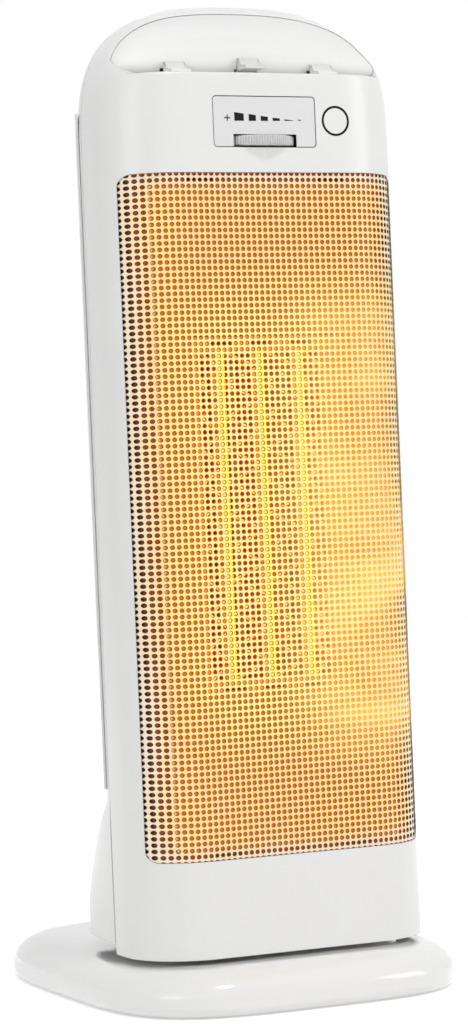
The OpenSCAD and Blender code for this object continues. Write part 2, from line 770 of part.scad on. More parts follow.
module thumbwheel() color("whitesmoke") translate([panel_shift, thumb_y, 0]) {
  translate([0, 0, thumb_z]) linear_extrude(thumb_t)
    polygon([for (i = [0:2 * rib_count - 1])
      let (a = 180 * i / rib_count, r = thumb_d / 2 - (i % 2) * rib_h) [r * cos(a), r * sin(a)]]);
  translate([0, 0, thumb_z - thumb_shaft]) cylinder(r = shaft_r, h = thumb_shaft + lap);
}
module thermostat() color("tan") translate([panel_shift, 0, 0]) difference() {
  union() {
    translate([-thermo_w / 2, thumb_y - thermo_w / 2, thermo_z]) cube([thermo_w, thermo_w, thermo_h]);
    for (x = [-1, 1]) translate([x * thermo_w / 2 - thermo_ear[0] / 2, front_y + wall,
                                 thermo_z + thermo_h - thermo_ear[1]])
      cube([thermo_ear[0], thumb_d / 2, thermo_ear[1]]);
    translate([-thermo_pin_x, thumb_y + thermo_pin[0], thermo_z + thermo_ear[1]])
      cube([2 * thermo_pin_x, thermo_pin[1], thermo_pin[0]]);
    for (x = [-thermo_pin_x, thermo_pin_x - thermo_pin[0]])
      translate([x, thumb_y + thermo_pin[0], thermo_z + thermo_ear[1]]) cube(thermo_pin);
  }
  translate([0, thumb_y, thermo_z + thermo_pin[0]]) cylinder(r = shaft_r + lap, h = thermo_h);
}
// Side outline of a key: low tongue, rising face, neck and stem
key_shape = [[0, 0.8], [0, 2.6], [3.5, 2.9], [6, 3.8], [8.2, 5.6], [9.6, 7.7], [10.5, 7.7], [10.5, 3.9],
             [17.5, 3.9], [17.5, -18], [13.5, -18], [13.5, 0.8]];
key_stem = 18;
key_low_z = lip_z - key_stem;
module key(k, raise) color("white")
  translate([key_shift + k * key_pitch, 0, 0]) along_x(key_w)
    polygon([for (p = key_shape) [key_front_y + p[0], lip_z + p[1] + raise]]);
module key_left() key(-1, 0);
module key_middle() key(0, key_travel);
module key_right() key(1, 0);
switch_box = [16, 14, 10];
button = [5, 4, 1.6];
button_gap = 0.4;
switch_back = 9;
button_back = 13.5;
switch_z = key_low_z - button_gap - button[2] - switch_box[2];
// Each button stands at the height it has under a pressed key
module key_switch(k) color("dimgray") translate([key_shift + k * key_pitch, key_front_y, switch_z]) {
  translate([-switch_box[0] / 2, switch_back, 0]) cube(switch_box);
  translate([-button[0] / 2, button_back, switch_box[2] - lap]) cube([button[0], button[1], button[2] + lap]);
}
module switch_left() key_switch(-1);
module switch_middle() key_switch(0);
module switch_right() key_switch(1);
sheet_side = 13.5;
bracket_x = body_hw - sheet_side;
sheet_t = 1.5;
sheet_back = 7;
sheet_d = 18;
sheet_leg = 14;
sheet_hole = [14, 16, 2];
module switch_bracket() color("silver") difference() {
  union() {
    translate([-bracket_x, key_front_y + sheet_back, switch_z - sheet_t])
      cube([2 * bracket_x, sheet_d, sheet_t]);
    for (x = [-bracket_x, bracket_x - sheet_t])
      translate([x, key_front_y + sheet_back, switch_z - sheet_t])
        cube([sheet_t, sheet_leg, lip_z - wall - switch_z + sheet_t]);
  }
  for (x = [-1, 1]) translate([x * (bracket_x - sheet_hole[0]), key_front_y + sheet_hole[1], 0])
    cylinder(r = sheet_hole[2], h = lip_z);
}

// ---- Heating block ----
function bar_x(i) = (i - (bar_count - 1) / 2) * bar_pitch;
module ceramic_bars() color("khaki") for (i = [0:bar_count - 1])
  translate([bar_x(i) - bar_t / 2, heater_y, heater_low]) cube([bar_t, fin_depth, bar_len]);
fin_t = 0.9;
folds = floor(bar_len / fold_pitch) * 2;
// One corrugated strip between x0 and x1, folded to and fro as it rises
module fold_pack(x0, x1) {
  step = (bar_len - fin_t) / folds;
  inner = (x1 - x0) * fin_t / (2 * step);
  z0 = heater_low;
  right = [for (j = [0:folds]) let (z = z0 + j * step)
    each j == 0 ? [[x0, z]] : j == folds ? [[x0, z + fin_t]]
      : j % 2 == 1 ? [[x1, z], [x1, z + fin_t]] : [[x0 + inner, z + fin_t / 2]]];
  left = [for (j = [folds:-1:0]) let (z = z0 + j * step)
    each j == 0 ? [[x0, z + fin_t]] : j == folds ? [[x0, z]]
      : j % 2 == 1 ? [[x1 - inner, z + fin_t / 2]] : [[x0, z + fin_t], [x0, z]]];
  along_y(heater_y, heater_y + fin_depth) polygon(concat(right, left));
}
module fins() color("orange") {
  for (i = [0:bar_count - 2]) fold_pack(bar_x(i) + bar_t / 2, bar_x(i + 1) - bar_t / 2);
  fold_pack(-heater_hw, bar_x(0) - bar_t / 2);
  fold_pack(bar_x(bar_count - 1) + bar_t / 2, heater_hw);
}
cap_ear_t = 3;
cap_lip = 1;
pocket = [14, 5, 2.8];
pocket_rise = 3.2;
// An end cap of the block from z up, with a pocket before each bar at pocket_z
module heater_cap(z, pocket_z) difference() {
  union() {
    box_at(-heater_hw - rail_t, heater_hw + rail_t, heater_y - cap_lip, heater_y + fin_depth + cap_lip,
           z, z + cap_h);
    box_at(-open_hw, open_hw, heater_y - cap_lip, heater_y - cap_lip + cap_ear_t, z, z + cap_h);
  }
  for (i = [0:bar_count - 1]) translate([bar_x(i) - pocket[0] / 2, heater_y - cap_lip - cut, pocket_z])
    cube([pocket[0], pocket[1] + cut, pocket[2]]);
}
module heater_cap_low() color("dimgray")
  heater_cap(heater_low - cap_h, heater_low - pocket_rise - pocket[2]);
module heater_cap_top() color("dimgray") heater_cap(heater_high, heater_high + pocket_rise);
// Each rail holds one side of the block and closes the duct beside it
module heater_rails() color("silver") for (x = [-1, 1]) {
  translate([x * (heater_hw + rail_t / 2) - rail_t / 2, heater_y, heater_low])
    cube([rail_t, fin_depth, bar_len]);
  translate([x * (heater_hw + open_hw) / 2 - (open_hw - heater_hw) / 2, heater_y, heater_low])
    cube([open_hw - heater_hw, rail_t, bar_len]);
}
tab = [6, 0.8, 12];
module heater_terminals() color("silver") for (i = [0, bar_count - 1])
  translate([bar_x(i) - tab[0] / 2, heater_y + fin_depth / 2, heater_high + cap_h]) cube(tab);
cutout_plate = [20, 1.2, 18];
cutout_at = [-10, 2.5];
cutout_r = 6.5;
cutout_h = 5;
module thermal_cutout() color("silver") {
  translate([cutout_at[0], heater_y + cutout_at[1], heater_high + cap_h]) cube(cutout_plate);
  translate([cutout_at[0] + cutout_plate[0] / 2, heater_y + cutout_at[1] + cutout_plate[1],
             heater_high + cap_h + cutout_plate[2] / 2])
    rotate([-90, 0, 0]) cylinder(r = cutout_r, h = cutout_h);
}

// ---- Fan ----
wheel_back = 63;
wheel_y = front_y + wheel_back;
deck_t = 2.5;
deck_room = 1.5;
deck_low_z = heater_low - cap_h - 1 - deck_t;
deck_top_z = heater_high + cap_h + 2;
wheel_low = deck_low_z + deck_t + 2;
wheel_high = deck_top_z - 3;
shaft_drop = 52;
shaft_over = 7;
shaft_low = deck_low_z - shaft_drop;
loom_side = 11.5;
loom_back = 42;
loom_x = -body_hw + loom_side;
loom_y = front_y + loom_back;
loom_way_r = 5;
fan_r = fan_shaft_d / 2;
bearing_r = 6;
bearing_h = 5;
module deck(z) difference() {
  translate([0, 0, z]) linear_extrude(deck_t) difference() {
    polygon(plan(wall + gap, back_depth, back_power));
    translate([-body_w, front_y - cut]) square([2 * body_w, heater_back + fin_depth + deck_room + cut]);
    guide_space();
  }
  translate([0, wheel_y, 0]) cylinder(r = bearing_r, h = lip_z);
  translate([loom_x, loom_y, 0]) cylinder(r = loom_way_r, h = lip_z);
}
module deck_low() color("gainsboro") deck(deck_low_z);
module deck_top() color("gainsboro") deck(deck_top_z);
module shaft_bearing() color("goldenrod") translate([0, wheel_y, 0]) {
  tube(bearing_r, fan_r + fit, deck_top_z, deck_top_z + bearing_h);
}
module fan_shaft() color("silver") translate([0, wheel_y, shaft_low])
  cylinder(r = fan_r, h = deck_top_z + shaft_over - shaft_low);
disc_t = 1.6;
hub_h = 8;
blade = [8, 1];
blade_in = 8.5;
blade_angle = 28;
module fan_wheel() color("dimgray") translate([0, wheel_y, 0]) difference() {
  union() {
    for (z = [wheel_low, (wheel_low + wheel_high) / 2, wheel_high - disc_t])
      translate([0, 0, z]) cylinder(r = wheel_d / 2, h = disc_t);
    translate([0, 0, wheel_low]) cylinder(r = bearing_r, h = hub_h);
    translate([0, 0, wheel_high - hub_h]) cylinder(r = bearing_r, h = hub_h);
    for (i = [0:blade_count - 1]) rotate(360 * i / blade_count)
      translate([wheel_d / 2 - blade_in, 0, wheel_low]) rotate(blade_angle)
        cube([blade[0], blade[1], wheel_high - wheel_low]);
  }
  cylinder(r = fan_r, h = lip_z);
}
rotor_r = 12;
air_gap = 0.6;
stator_drop = 36;
stator_z = deck_low_z - stator_drop;
stator_h = 18;
stator_hw = 24;
stator_d = 44;
leg_w = 6;
leg_h = 18;
post_at = [20, 18];
motor_post_r = 3;
cage_drop = 14;
cage_t = 2.5;
cage_r = 7;
cage_h = 6;
slot_side = 22;
coil_gap = 2.6;
coil_w = 14;
coil_over = 5;
module fan_rotor() color("silver") translate([0, wheel_y, 0])
  tube(rotor_r, fan_r, stator_z - 1, stator_z + stator_h + 1);
module fan_motor() color("gray") translate([0, wheel_y, 0]) difference() {
  union() {
    translate([-stator_hw, -stator_d / 2, stator_z]) cube([2 * stator_hw + leg_w, stator_d, stator_h]);
    for (x = [-1, 1]) for (y = [-1, 1])
      translate([x * post_at[0], y * post_at[1], stator_z - cage_drop + cage_t / 2])
        cylinder(r = motor_post_r, h = stator_drop + cage_drop - cage_t / 2);
    translate([-stator_hw, -stator_d / 2, stator_z - cage_drop]) cube([2 * stator_hw, stator_d, cage_t]);
    translate([0, 0, stator_z - cage_drop]) cylinder(r = cage_r, h = cage_h);
  }
  translate([0, 0, stator_z - cage_h - cut]) cylinder(r = rotor_r + air_gap, h = stator_h + 2 * cage_h);
  translate([slot_side, -leg_h / 2, stator_z - cut]) cube([coil_gap, leg_h, stator_h + 2 * cut]);
  translate([0, 0, stator_z - 2 * cage_drop]) cylinder(r = fan_r + fit, h = 2 * cage_drop);
}
module motor_coil() color("peru") translate([slot_side, wheel_y - leg_h / 2, stator_z]) difference() {
  translate([0, 0, -coil_over]) cube([coil_w, leg_h, stator_h + 2 * coil_over]);
  translate([coil_gap, -cut, -gap])
    cube([stator_hw + leg_w - slot_side - coil_gap + gap, leg_h + 2 * cut, stator_h + 2 * gap]);
}
scroll_room = 5;
scroll_r = wheel_d / 2 + scroll_room;
scroll_t = 1.5;
scroll_end = [0.94, 0.33];
tongue_y = -6;
tongue_t = 2.4;
// Part of the round scroll wall that is left away, seen from above
scroll_open = [[0, 0], [-80, -28], [-80, -120], [120, -120], [120, 120], [-14, 80]];
duct_x = heater_hw + rail_t;
duct_y = heater_y + fin_depth + 2 - wheel_y;
module scroll_wall() color("white") translate([0, wheel_y, deck_low_z + deck_t])
  linear_extrude(deck_top_z - deck_low_z - deck_t) {
    difference() {
      circle(scroll_r + scroll_t);
      circle(scroll_r);
      polygon(scroll_open);
    }
    polygon([[-scroll_r * scroll_end[0] - scroll_t + lap, -scroll_r * scroll_end[1] + air_gap],
             [-duct_x - scroll_t, duct_y], [-duct_x, duct_y],
             [-scroll_r * scroll_end[0] + air_gap, -scroll_r * scroll_end[1]]]);
  }
module scroll_tongue() color("white") translate([0, wheel_y, deck_low_z + deck_t])
  linear_extrude(deck_top_z - deck_low_z - deck_t) {
    polygon([[scroll_r * scroll_end[0], tongue_y], [duct_x, duct_y], [duct_x + scroll_t, duct_y],
             [scroll_r * scroll_end[0] + tongue_t, tongue_y]]);
    translate([scroll_r * scroll_end[0] + tongue_t / 2, tongue_y]) circle(scroll_t);
  }

// ---- Wiring and screws ----
block = [20, 24, 14];
block_side = 11.5;
block_back = 22;
block_x = -body_hw + block_side;
block_y = front_y + block_back;
block_pitch = 8;
block_edge = 4;
block_bore = [2, 8];
module terminal_block() color("ivory") difference() {
  translate([block_x, block_y, chassis_z + chassis_t]) cube(block);
  for (i = [0:2]) translate([block_x + block_edge, block_y + block_edge + i * block_pitch,
                             chassis_z + chassis_t + block[2] - block_bore[1]])
    cylinder(r = block_bore[0], h = block[2]);
}
loom_r = 2.4;
// The loom's path from the terminal block up to the switches: sideways, backward, height
loom_path = [
  [10, 0, 50], [6, 0, 70], [0, 0, 100], [0, 0, 450], [4, -5, 464], [12, -9, switch_z - sheet_t - lap]
];
loom_sides = 8;
module wire_loom() color("dimgray") {
  loft([for (p = loom_path) [for (j = [0:loom_sides - 1]) let (a = 360 * j / loom_sides)
    [loom_x + p[0] + loom_r * cos(a), loom_y + p[1] + loom_r * sin(a), p[2]]]]);
}
module case_screws() color("silver") intersection() {
  case_screw_places() {
    translate([0, 0, -case_head[1] - lap]) cylinder(r = case_head[0], h = case_head[1]);
    translate([0, 0, -2 * lap]) cylinder(r = screw_r, h = body_w);
  }
  box_at(-body_w, body_w, seam_y - boss_len + 3, body_w, 0, crest_z);
}

base_cover();
base_plate();
rubber_feet();
base_screws();
pivot_column();
slide_ring();
retaining_ring();
slot_arm();
cord_gland();
tip_switch();
tip_plunger();
chassis();
swivel_bush();
front_shell();
rear_cover();
inlet_panel();
inlet_filter();
top_cover();
grille();
air_guide();
control_panel();
thermostat();
thumbwheel();
key_left();
key_middle();
key_right();
switch_left();
switch_middle();
switch_right();
switch_bracket();
swing_motor();
motor_bracket();
crank();
ceramic_bars();
fins();
heater_cap_low();
heater_cap_top();
heater_rails();
heater_terminals();
thermal_cutout();
fan_wheel();
fan_shaft();
fan_motor();
motor_coil();
fan_rotor();
deck_low();
deck_top();
shaft_bearing();
scroll_wall();
scroll_tongue();
terminal_block();
wire_loom();
case_screws();
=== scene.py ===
import math

import bmesh
import bpy
import numpy as np
from mathutils import Matrix, Vector


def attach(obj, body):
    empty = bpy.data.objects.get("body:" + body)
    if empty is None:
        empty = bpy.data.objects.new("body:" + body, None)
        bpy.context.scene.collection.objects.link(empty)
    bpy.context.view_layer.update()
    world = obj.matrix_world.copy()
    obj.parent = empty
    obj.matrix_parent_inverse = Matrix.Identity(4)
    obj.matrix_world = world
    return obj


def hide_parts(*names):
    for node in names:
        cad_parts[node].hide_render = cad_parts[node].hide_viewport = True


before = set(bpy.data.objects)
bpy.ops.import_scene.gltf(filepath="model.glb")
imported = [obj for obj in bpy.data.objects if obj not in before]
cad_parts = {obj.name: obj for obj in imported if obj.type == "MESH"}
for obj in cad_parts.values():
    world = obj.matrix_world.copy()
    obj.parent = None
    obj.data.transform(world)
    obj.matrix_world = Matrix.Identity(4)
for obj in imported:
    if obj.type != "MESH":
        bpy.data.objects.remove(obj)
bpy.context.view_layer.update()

# All lengths below are in millimetres, in the frame's axes; meshes are scaled to metres when made.
MM = 0.001
BODY_HW = 87.5
FRONT_Y = -102.0
CORNER_R = 38.5
SIDE_Y = FRONT_Y + CORNER_R
BACK_Y = FRONT_Y + 47.0
SEAM_Y = FRONT_Y + 55.0
BACK_DEPTH, BACK_POWER = 62.0, 2.2
FLARE_DEPTH, FLARE_POWER = 104.0, 3.0
WALL = 2.4
BOTTOM, LIP, CREST = 28.0, 505.5, 547.5
ARCH_RISE, ARCH_POWER = 80.0, 3.0
SETBACK, COVER_RUN = 20.0, 26.0
COVER_END = FRONT_Y + SETBACK + 25.0
WINDOW_HW, WINDOW_LOW, WINDOW_HIGH, WINDOW_R = 82.0, 80.5, 451.2, 6.0
PANEL_W, PANEL_H, PANEL_LOW, PANEL_R, PANEL_X = 61.0, 27.5, 465.0, 1.8, -1.4
SLOT_W, SLOT_H = 37.6, 6.9
KEY_W, KEY_PITCH, KEY_SHIFT, KEY_TRAVEL = 12.2, 44.0, -1.5, 2.7
KEY_Y = FRONT_Y + SETBACK - 11.0
BASE_HW, BASE_HD, BASE_POWER, BASE_H, FOOT_H = 105.0, 132.0, 3.8, 25.5, 1.5
PIVOT_Y = FRONT_Y + 77.0
TURRET_R, TURRET_Z = 48.0, 31.0
# Run and rise of the sloping cover
SLOPE = [(2.5, 0), (0.6, 3.2), (0, 8), (0.7, 14), (3.2, 21.5), (7.6, 28.5), (13, 34), (19, 38), (25, 40.4),
         (30, 41)]
# Height over the foot and inset of the base's side, from its lower edge to the crown
BASE_CURVE = [(0, 1.6), (2, 0.5), (5, 0), (11, 0.3), (15, 2.6), (18, 5.6), (20.2, 9), (21.8, 13),
              (22.9, 19.5), (23.5, 34)]
# Height and share of the rear cover's flare at its foot
FLARE = [(34, 1.0), (51, 1.0), (60, 0.93), (70, 0.82), (80, 0.69), (88, 0.57), (95, 0.45), (100, 0.34),
         (106, 0.17), (112, 0.0)]
# Room left round a cut and half-width of a cut that passes the whole tower
SLACK, PAST = 0.3, 200

scene = bpy.context.scene


# ---- Camera ----
def aim(place, yaw, pitch, roll, lens):
    """A camera at a place in metres, turned by yaw, pitch and roll in degrees."""
    y, p, r = (math.radians(v) for v in (yaw, pitch, roll))
    ahead = Vector((math.sin(y) * math.cos(p), math.cos(y) * math.cos(p), -math.sin(p)))
    right = Vector((math.cos(y), -math.sin(y), 0))
    up = right.cross(ahead)
    right, up = math.cos(r) * right + math.sin(r) * up, -math.sin(r) * right + math.cos(r) * up
    data = bpy.data.cameras.new("camera")
    cam = bpy.data.objects.new("camera", data)
    scene.collection.objects.link(cam)
    cam.matrix_world = Matrix.Translation(place) @ Matrix((right, up, -ahead)).transposed().to_4x4()
    data.sensor_width = 36
    data.lens = lens
    scene.camera = cam


aim((-0.7097, -1.62958, 0.27538), 24.0001, 0.2628, -2.4625, 108.93)


# ---- Materials ----
def nodes_of(name):
    mat = bpy.data.materials.new(name)
    mat.use_nodes = True
    tree = mat.node_tree
    return mat, tree, tree.nodes["Principled BSDF"]


def plastic(name, color, rough=0.35, spread=0.012, grain=0.03, bump=0.02, scale=900.0, bevel=0.0005,
            coat=0.0, spec=0.5):
    """Moulded plastic: a faint cloudy tone, a fine grain in gloss and surface, and softened edges."""
    mat, tree, bsdf = nodes_of(name)
    n, l = tree.nodes, tree.links
    where = n.new("ShaderNodeTexCoord")
    cloud = n.new("ShaderNodeTexNoise")
    cloud.inputs["Scale"].default_value = 14.0
    cloud.inputs["Detail"].default_value = 3.0
    l.new(where.outputs["Object"], cloud.inputs["Vector"])
    tone = n.new("ShaderNodeValToRGB")
    tone.color_ramp.elements[0].position = 0.3
    tone.color_ramp.elements[1].position = 0.7
    tone.color_ramp.elements[0].color = (*[max(0.0, c - spread) for c in color], 1)
    tone.color_ramp.elements[1].color = (*[min(1.0, c + spread) for c in color], 1)
    l.new(cloud.outputs["Fac"], tone.inputs["Fac"])
    l.new(tone.outputs["Color"], bsdf.inputs["Base Color"])
    fine = n.new("ShaderNodeTexNoise")
    fine.inputs["Scale"].default_value = scale
    fine.inputs["Detail"].default_value = 2.0
    l.new(where.outputs["Object"], fine.inputs["Vector"])
    gloss = n.new("ShaderNodeMapRange")
    gloss.inputs["To Min"].default_value = rough - grain
    gloss.inputs["To Max"].default_value = rough + grain
    l.new(fine.outputs["Fac"], gloss.inputs["Value"])
    l.new(gloss.outputs["Result"], bsdf.inputs["Roughness"])
    edge = n.new("ShaderNodeBevel")
    edge.samples = 4
    edge.inputs["Radius"].default_value = bevel
    relief = n.new("ShaderNodeBump")
    relief.inputs["Strength"].default_value = bump
    relief.inputs["Distance"].default_value = 0.0002
    l.new(fine.outputs["Fac"], relief.inputs["Height"])
    l.new(edge.outputs["Normal"], relief.inputs["Normal"])
    l.new(relief.outputs["Normal"], bsdf.inputs["Normal"])
    bsdf.inputs["Coat Weight"].default_value = coat
    bsdf.inputs["Coat Roughness"].default_value = 0.05
    bsdf.inputs["Specular IOR Level"].default_value = spec
    return mat


def metal(name, color, rough=0.3, brushed=60.0):
    """Bare or plated metal with fine lines drawn along it."""
    mat, tree, bsdf = nodes_of(name)
    n, l = tree.nodes, tree.links
    where = n.new("ShaderNodeTexCoord")
    stretch = n.new("ShaderNodeMapping")
    stretch.inputs["Scale"].default_value = (brushed, brushed, 4.0)
    lines = n.new("ShaderNodeTexNoise")
    lines.inputs["Scale"].default_value = 12.0
    lines.inputs["Detail"].default_value = 4.0
    l.new(where.outputs["Object"], stretch.inputs["Vector"])
    l.new(stretch.outputs["Vector"], lines.inputs["Vector"])
    gloss = n.new("ShaderNodeMapRange")
    gloss.inputs["To Min"].default_value = rough - 0.08
    gloss.inputs["To Max"].default_value = rough + 0.12
    l.new(lines.outputs["Fac"], gloss.inputs["Value"])
    l.new(gloss.outputs["Result"], bsdf.inputs["Roughness"])
    tone = n.new("ShaderNodeValToRGB")
    tone.color_ramp.elements[0].color = (*[c * 0.88 for c in color], 1)
    tone.color_ramp.elements[1].color = (*[min(1, c * 1.06) for c in color], 1)
    l.new(lines.outputs["Fac"], tone.inputs["Fac"])
    l.new(tone.outputs["Color"], bsdf.inputs["Base Color"])
    bsdf.inputs["Metallic"].default_value = 1.0
    return mat


# Middle of the glow on the front, which lies before the heating block as the camera sees it
GLOW_MID = (-0.0085, 0.266)
BLOCK_Y = (FRONT_Y + 21.0) * MM


def math_node(tree, operation, a, b=None):
    """A math node over sockets or numbers."""
    made = tree.nodes.new("ShaderNodeMath")
    made.operation = operation
    for socket, value in zip(made.inputs, (a, b)):
        if isinstance(value, (int, float)):
            socket.default_value = value
        elif value is not None:
            tree.links.new(value, socket)
    return made.outputs[0]


def map_range(tree, value, lo, hi, to_lo=0.0, to_hi=1.0, smooth=False):
    made = tree.nodes.new("ShaderNodeMapRange")
    if smooth:
        made.interpolation_type = "SMOOTHSTEP"
    made.inputs["From Min"].default_value = lo
    made.inputs["From Max"].default_value = hi
    made.inputs["To Min"].default_value = to_lo
    made.inputs["To Max"].default_value = to_hi
    tree.links.new(value, made.inputs["Value"])
    return made.outputs["Result"]


def place_of(tree):
    """The place on the object, whole and split into its axes."""
    where = tree.nodes.new("ShaderNodeTexCoord").outputs["Object"]
    split = tree.nodes.new("ShaderNodeSeparateXYZ")
    tree.links.new(where, split.inputs["Vector"])
    return where, split.outputs


def glow_field(tree, axes, half_x, half_z, soft, mid=GLOW_MID):
    """0 away from the middle to 1 near it, over a rectangle with soft edges."""
    parts = []
    for axis, middle, half in (("X", mid[0], half_x), ("Z", mid[1], half_z)):
        off = math_node(tree, "ABSOLUTE", math_node(tree, "SUBTRACT", axes[axis], middle))
        parts.append(map_range(tree, off, half + soft, half - soft, smooth=True))
    return math_node(tree, "MULTIPLY", *parts)


def noise(tree, where, scale, detail=2.0, twist=0.0, stretch=None):
    made = tree.nodes.new("ShaderNodeTexNoise")
    made.inputs["Scale"].default_value = scale
    made.inputs["Detail"].default_value = detail
    made.inputs["Distortion"].default_value = twist
    if stretch:
        turn = tree.nodes.new("ShaderNodeMapping")
        turn.inputs["Scale"].default_value = stretch
        tree.links.new(where, turn.inputs["Vector"])
        where = turn.outputs["Vector"]
    tree.links.new(where, made.inputs["Vector"])
    return made.outputs["Fac"]


def ramp(tree, fac, stops):
    """A colour ramp with stops of (position, colour)."""
    made = tree.nodes.new("ShaderNodeValToRGB")
    bar = made.color_ramp
    while len(bar.elements) < len(stops):
        bar.elements.new(0.5)
    for e, (pos, color) in zip(bar.elements, stops):
        e.position = pos
        e.color = (*srgb(color), 1)
    tree.links.new(fac, made.inputs["Fac"])
    return made.outputs["Color"]


def srgb(text):
    """A linear colour from a hexadecimal sRGB one."""
    v = [int(text[i:i + 2], 16) / 255 for i in (0, 2, 4)]
    return tuple(c / 12.92 if c <= 0.04045 else ((c + 0.055) / 1.055) ** 2.4 for c in v)


def lit(tree, bsdf, tone, strength, rough=0.45):
    """Sets a surface's colour, and lets it give off the same colour as painted glow."""
    tree.links.new(tone, bsdf.inputs["Base Color"])
    tree.links.new(tone, bsdf.inputs["Emission Color"])
    if isinstance(strength, float):
        bsdf.inputs["Emission Strength"].default_value = strength
    else:
        tree.links.new(strength, bsdf.inputs["Emission Strength"])
    bsdf.inputs["Roughness"].default_value = rough


def mix(tree, fac, a, b):
    """Colour a blended into colour b by a factor; b is a hexadecimal colour or a socket."""
    made = tree.nodes.new("ShaderNodeMix")
    made.data_type = "RGBA"
    tree.links.new(fac, made.inputs["Factor"])
    tree.links.new(a, made.inputs["A"])
    if isinstance(b, str):
        made.inputs["B"].default_value = (*srgb(b), 1)
    else:
        tree.links.new(b, made.inputs["B"])
    return made.outputs["Result"]


def painted_glare(tree, where, axes, most):
    """0 to most: warm painted glare over the right half, in wisps that lie across it."""
    right = map_range(tree, axes["X"], -0.012, 0.04, smooth=True)
    high = math_node(tree, "ABSOLUTE", math_node(tree, "SUBTRACT", axes["Z"], 0.262))
    tall = map_range(tree, high, 0.15, 0.1, smooth=True)
    wisp = map_range(tree, noise(tree, where, 7.0, 3.0, 0.8, (1.0, 1.0, 3.2)), 0.38, 0.62, 0.45, 1.0,
                     smooth=True)
    return math_node(tree, "MULTIPLY", math_node(tree, "MULTIPLY", right, tall),
                     math_node(tree, "MULTIPLY", wisp, most))


def grille_material():
    """Cream plastic with painted light from behind: a warm painted glow inside the window, painted yellow
    light before the block and its bars, and painted glare over the right half.
    """
    mat, tree, bsdf = nodes_of("grille_plastic")
    where, axes = place_of(tree)
    window = glow_field(tree, axes, 0.074, 0.1795, 0.009, WINDOW_MID)
    block = glow_field(tree, axes, 0.05, 0.118, 0.028)
    sway = map_range(tree, noise(tree, where, 9.0, 3.0, 1.6), 0.3, 0.7, -0.08, 0.08)
    total = math_node(tree, "ADD", math_node(tree, "ADD", math_node(tree, "MULTIPLY", window, 0.5),
                                             math_node(tree, "MULTIPLY", block, 0.45)), sway)
    tone = ramp(tree, total, GRILLE_STOPS)
    bars = None
    for x in BAR_BANDS:
        off = math_node(tree, "ABSOLUTE", math_node(tree, "SUBTRACT", axes["X"], x))
        near = map_range(tree, off, 0.0036, 0.0008, smooth=True)
        bars = near if bars is None else math_node(tree, "MAXIMUM", bars, near)
    high = math_node(tree, "ABSOLUTE", math_node(tree, "SUBTRACT", axes["Z"], GLOW_MID[1]))
    tall = map_range(tree, high, 0.093, 0.086)
    painted_bar_light = math_node(tree, "MULTIPLY", math_node(tree, "MULTIPLY", bars, tall), 0.6)
    # painted yellow light where the bars show through the grille
    tone = mix(tree, painted_bar_light, tone, "FFFA62")
    tone = mix(tree, painted_glare(tree, where, axes, 0.5), tone, "FFF0B4")
    # painted glow strength: stronger towards the left, weaker at the window's edges
    glow = map_range(tree, axes["X"], -0.08, -0.045, 0.3, 0.15)
    edge = map_range(tree, window, 0.0, 1.0, 0.3, 1.0)
    lit(tree, bsdf, tone, math_node(tree, "MULTIPLY", glow, edge), 0.4)
    return mat


def hole_material():
    """The walls of the grille's holes, with painted shade and painted glow: dark brown at the window's edges
    and orange-brown inside.
    """
    mat, tree, bsdf = nodes_of("grille_hole_wall")
    where, axes = place_of(tree)
    glow = glow_field(tree, axes, 0.069, 0.1815, 0.007, WINDOW_MID)
    glow_with_glare(tree, bsdf, where, axes, ramp(tree, glow, HOLE_STOPS), 0.12)
    return mat


def glow_with_glare(tree, bsdf, where, axes, tone, strength, rough=0.5):
    """Lights a surface by its tone as painted glow, and blends in the painted glare over the right half."""
    glare_share = painted_glare(tree, where, axes, 0.85)
    lit(tree, bsdf, mix(tree, glare_share, tone, "EEC04C"),
        math_node(tree, "ADD", math_node(tree, "MULTIPLY", glare_share, 0.4), strength), rough)


def forward(tree, turn, strength):
    """A painted-glow strength that falls to nothing on faces that look back, whose normal's Y is over turn.
    """
    facing = tree.nodes.new("ShaderNodeSeparateXYZ")
    tree.links.new(tree.nodes.new("ShaderNodeTexCoord").outputs["Normal"], facing.inputs["Vector"])
    return map_range(tree, facing.outputs["Y"], turn, turn - 0.3, 0.0, strength)


def block_glow_material(name, stops, mid, half, soft, strength, dark_x):
    """A surface with painted light from the block: colours from dim to bright glow by its place, and painted
    shade beyond dark_x.
    """
    mat, tree, bsdf = nodes_of(name)
    where, axes = place_of(tree)
    glow = glow_field(tree, axes, half[0], half[1], soft, mid)
    sway = map_range(tree, noise(tree, where, 60.0, 3.0), 0.0, 1.0, -0.05, 0.05)
    tone = ramp(tree, math_node(tree, "ADD", glow, sway), stops)
    off = math_node(tree, "ABSOLUTE", axes["X"])
    # painted shade beyond dark_x
    tone = mix(tree, map_range(tree, off, dark_x - 0.001, dark_x + 0.001), tone, "2A0E04")
    glow_with_glare(tree, bsdf, where, axes, tone, forward(tree, 0.2, strength))
    return mat


def deep_material(name, stops, depth, strength, rough=0.5, dark_x=None, turn=None):
    """A surface with painted glow from the block, bright at the block's front, with painted shade over a
    depth in metres and left of -dark_x.
    """
    mat, tree, bsdf = nodes_of(name)
    where, axes = place_of(tree)
    back = map_range(tree, axes["Y"], BLOCK_Y - 0.001, BLOCK_Y + depth)
    sway = map_range(tree, noise(tree, where, 90.0, 3.0), 0.0, 1.0, -0.06, 0.06)
    tone = ramp(tree, math_node(tree, "ADD", back, sway), stops)
    if dark_x:
        # painted shade left of -dark_x
        left = map_range(tree, axes["X"], -dark_x + 0.0004, -dark_x - 0.0004)
        tone = mix(tree, left, tone, "4A1A08")
    if turn is not None:
        strength = forward(tree, turn, strength)
    lit(tree, bsdf, mix(tree, painted_glare(tree, where, axes, 0.45), tone, "F4C850"), strength, rough)
    return mat


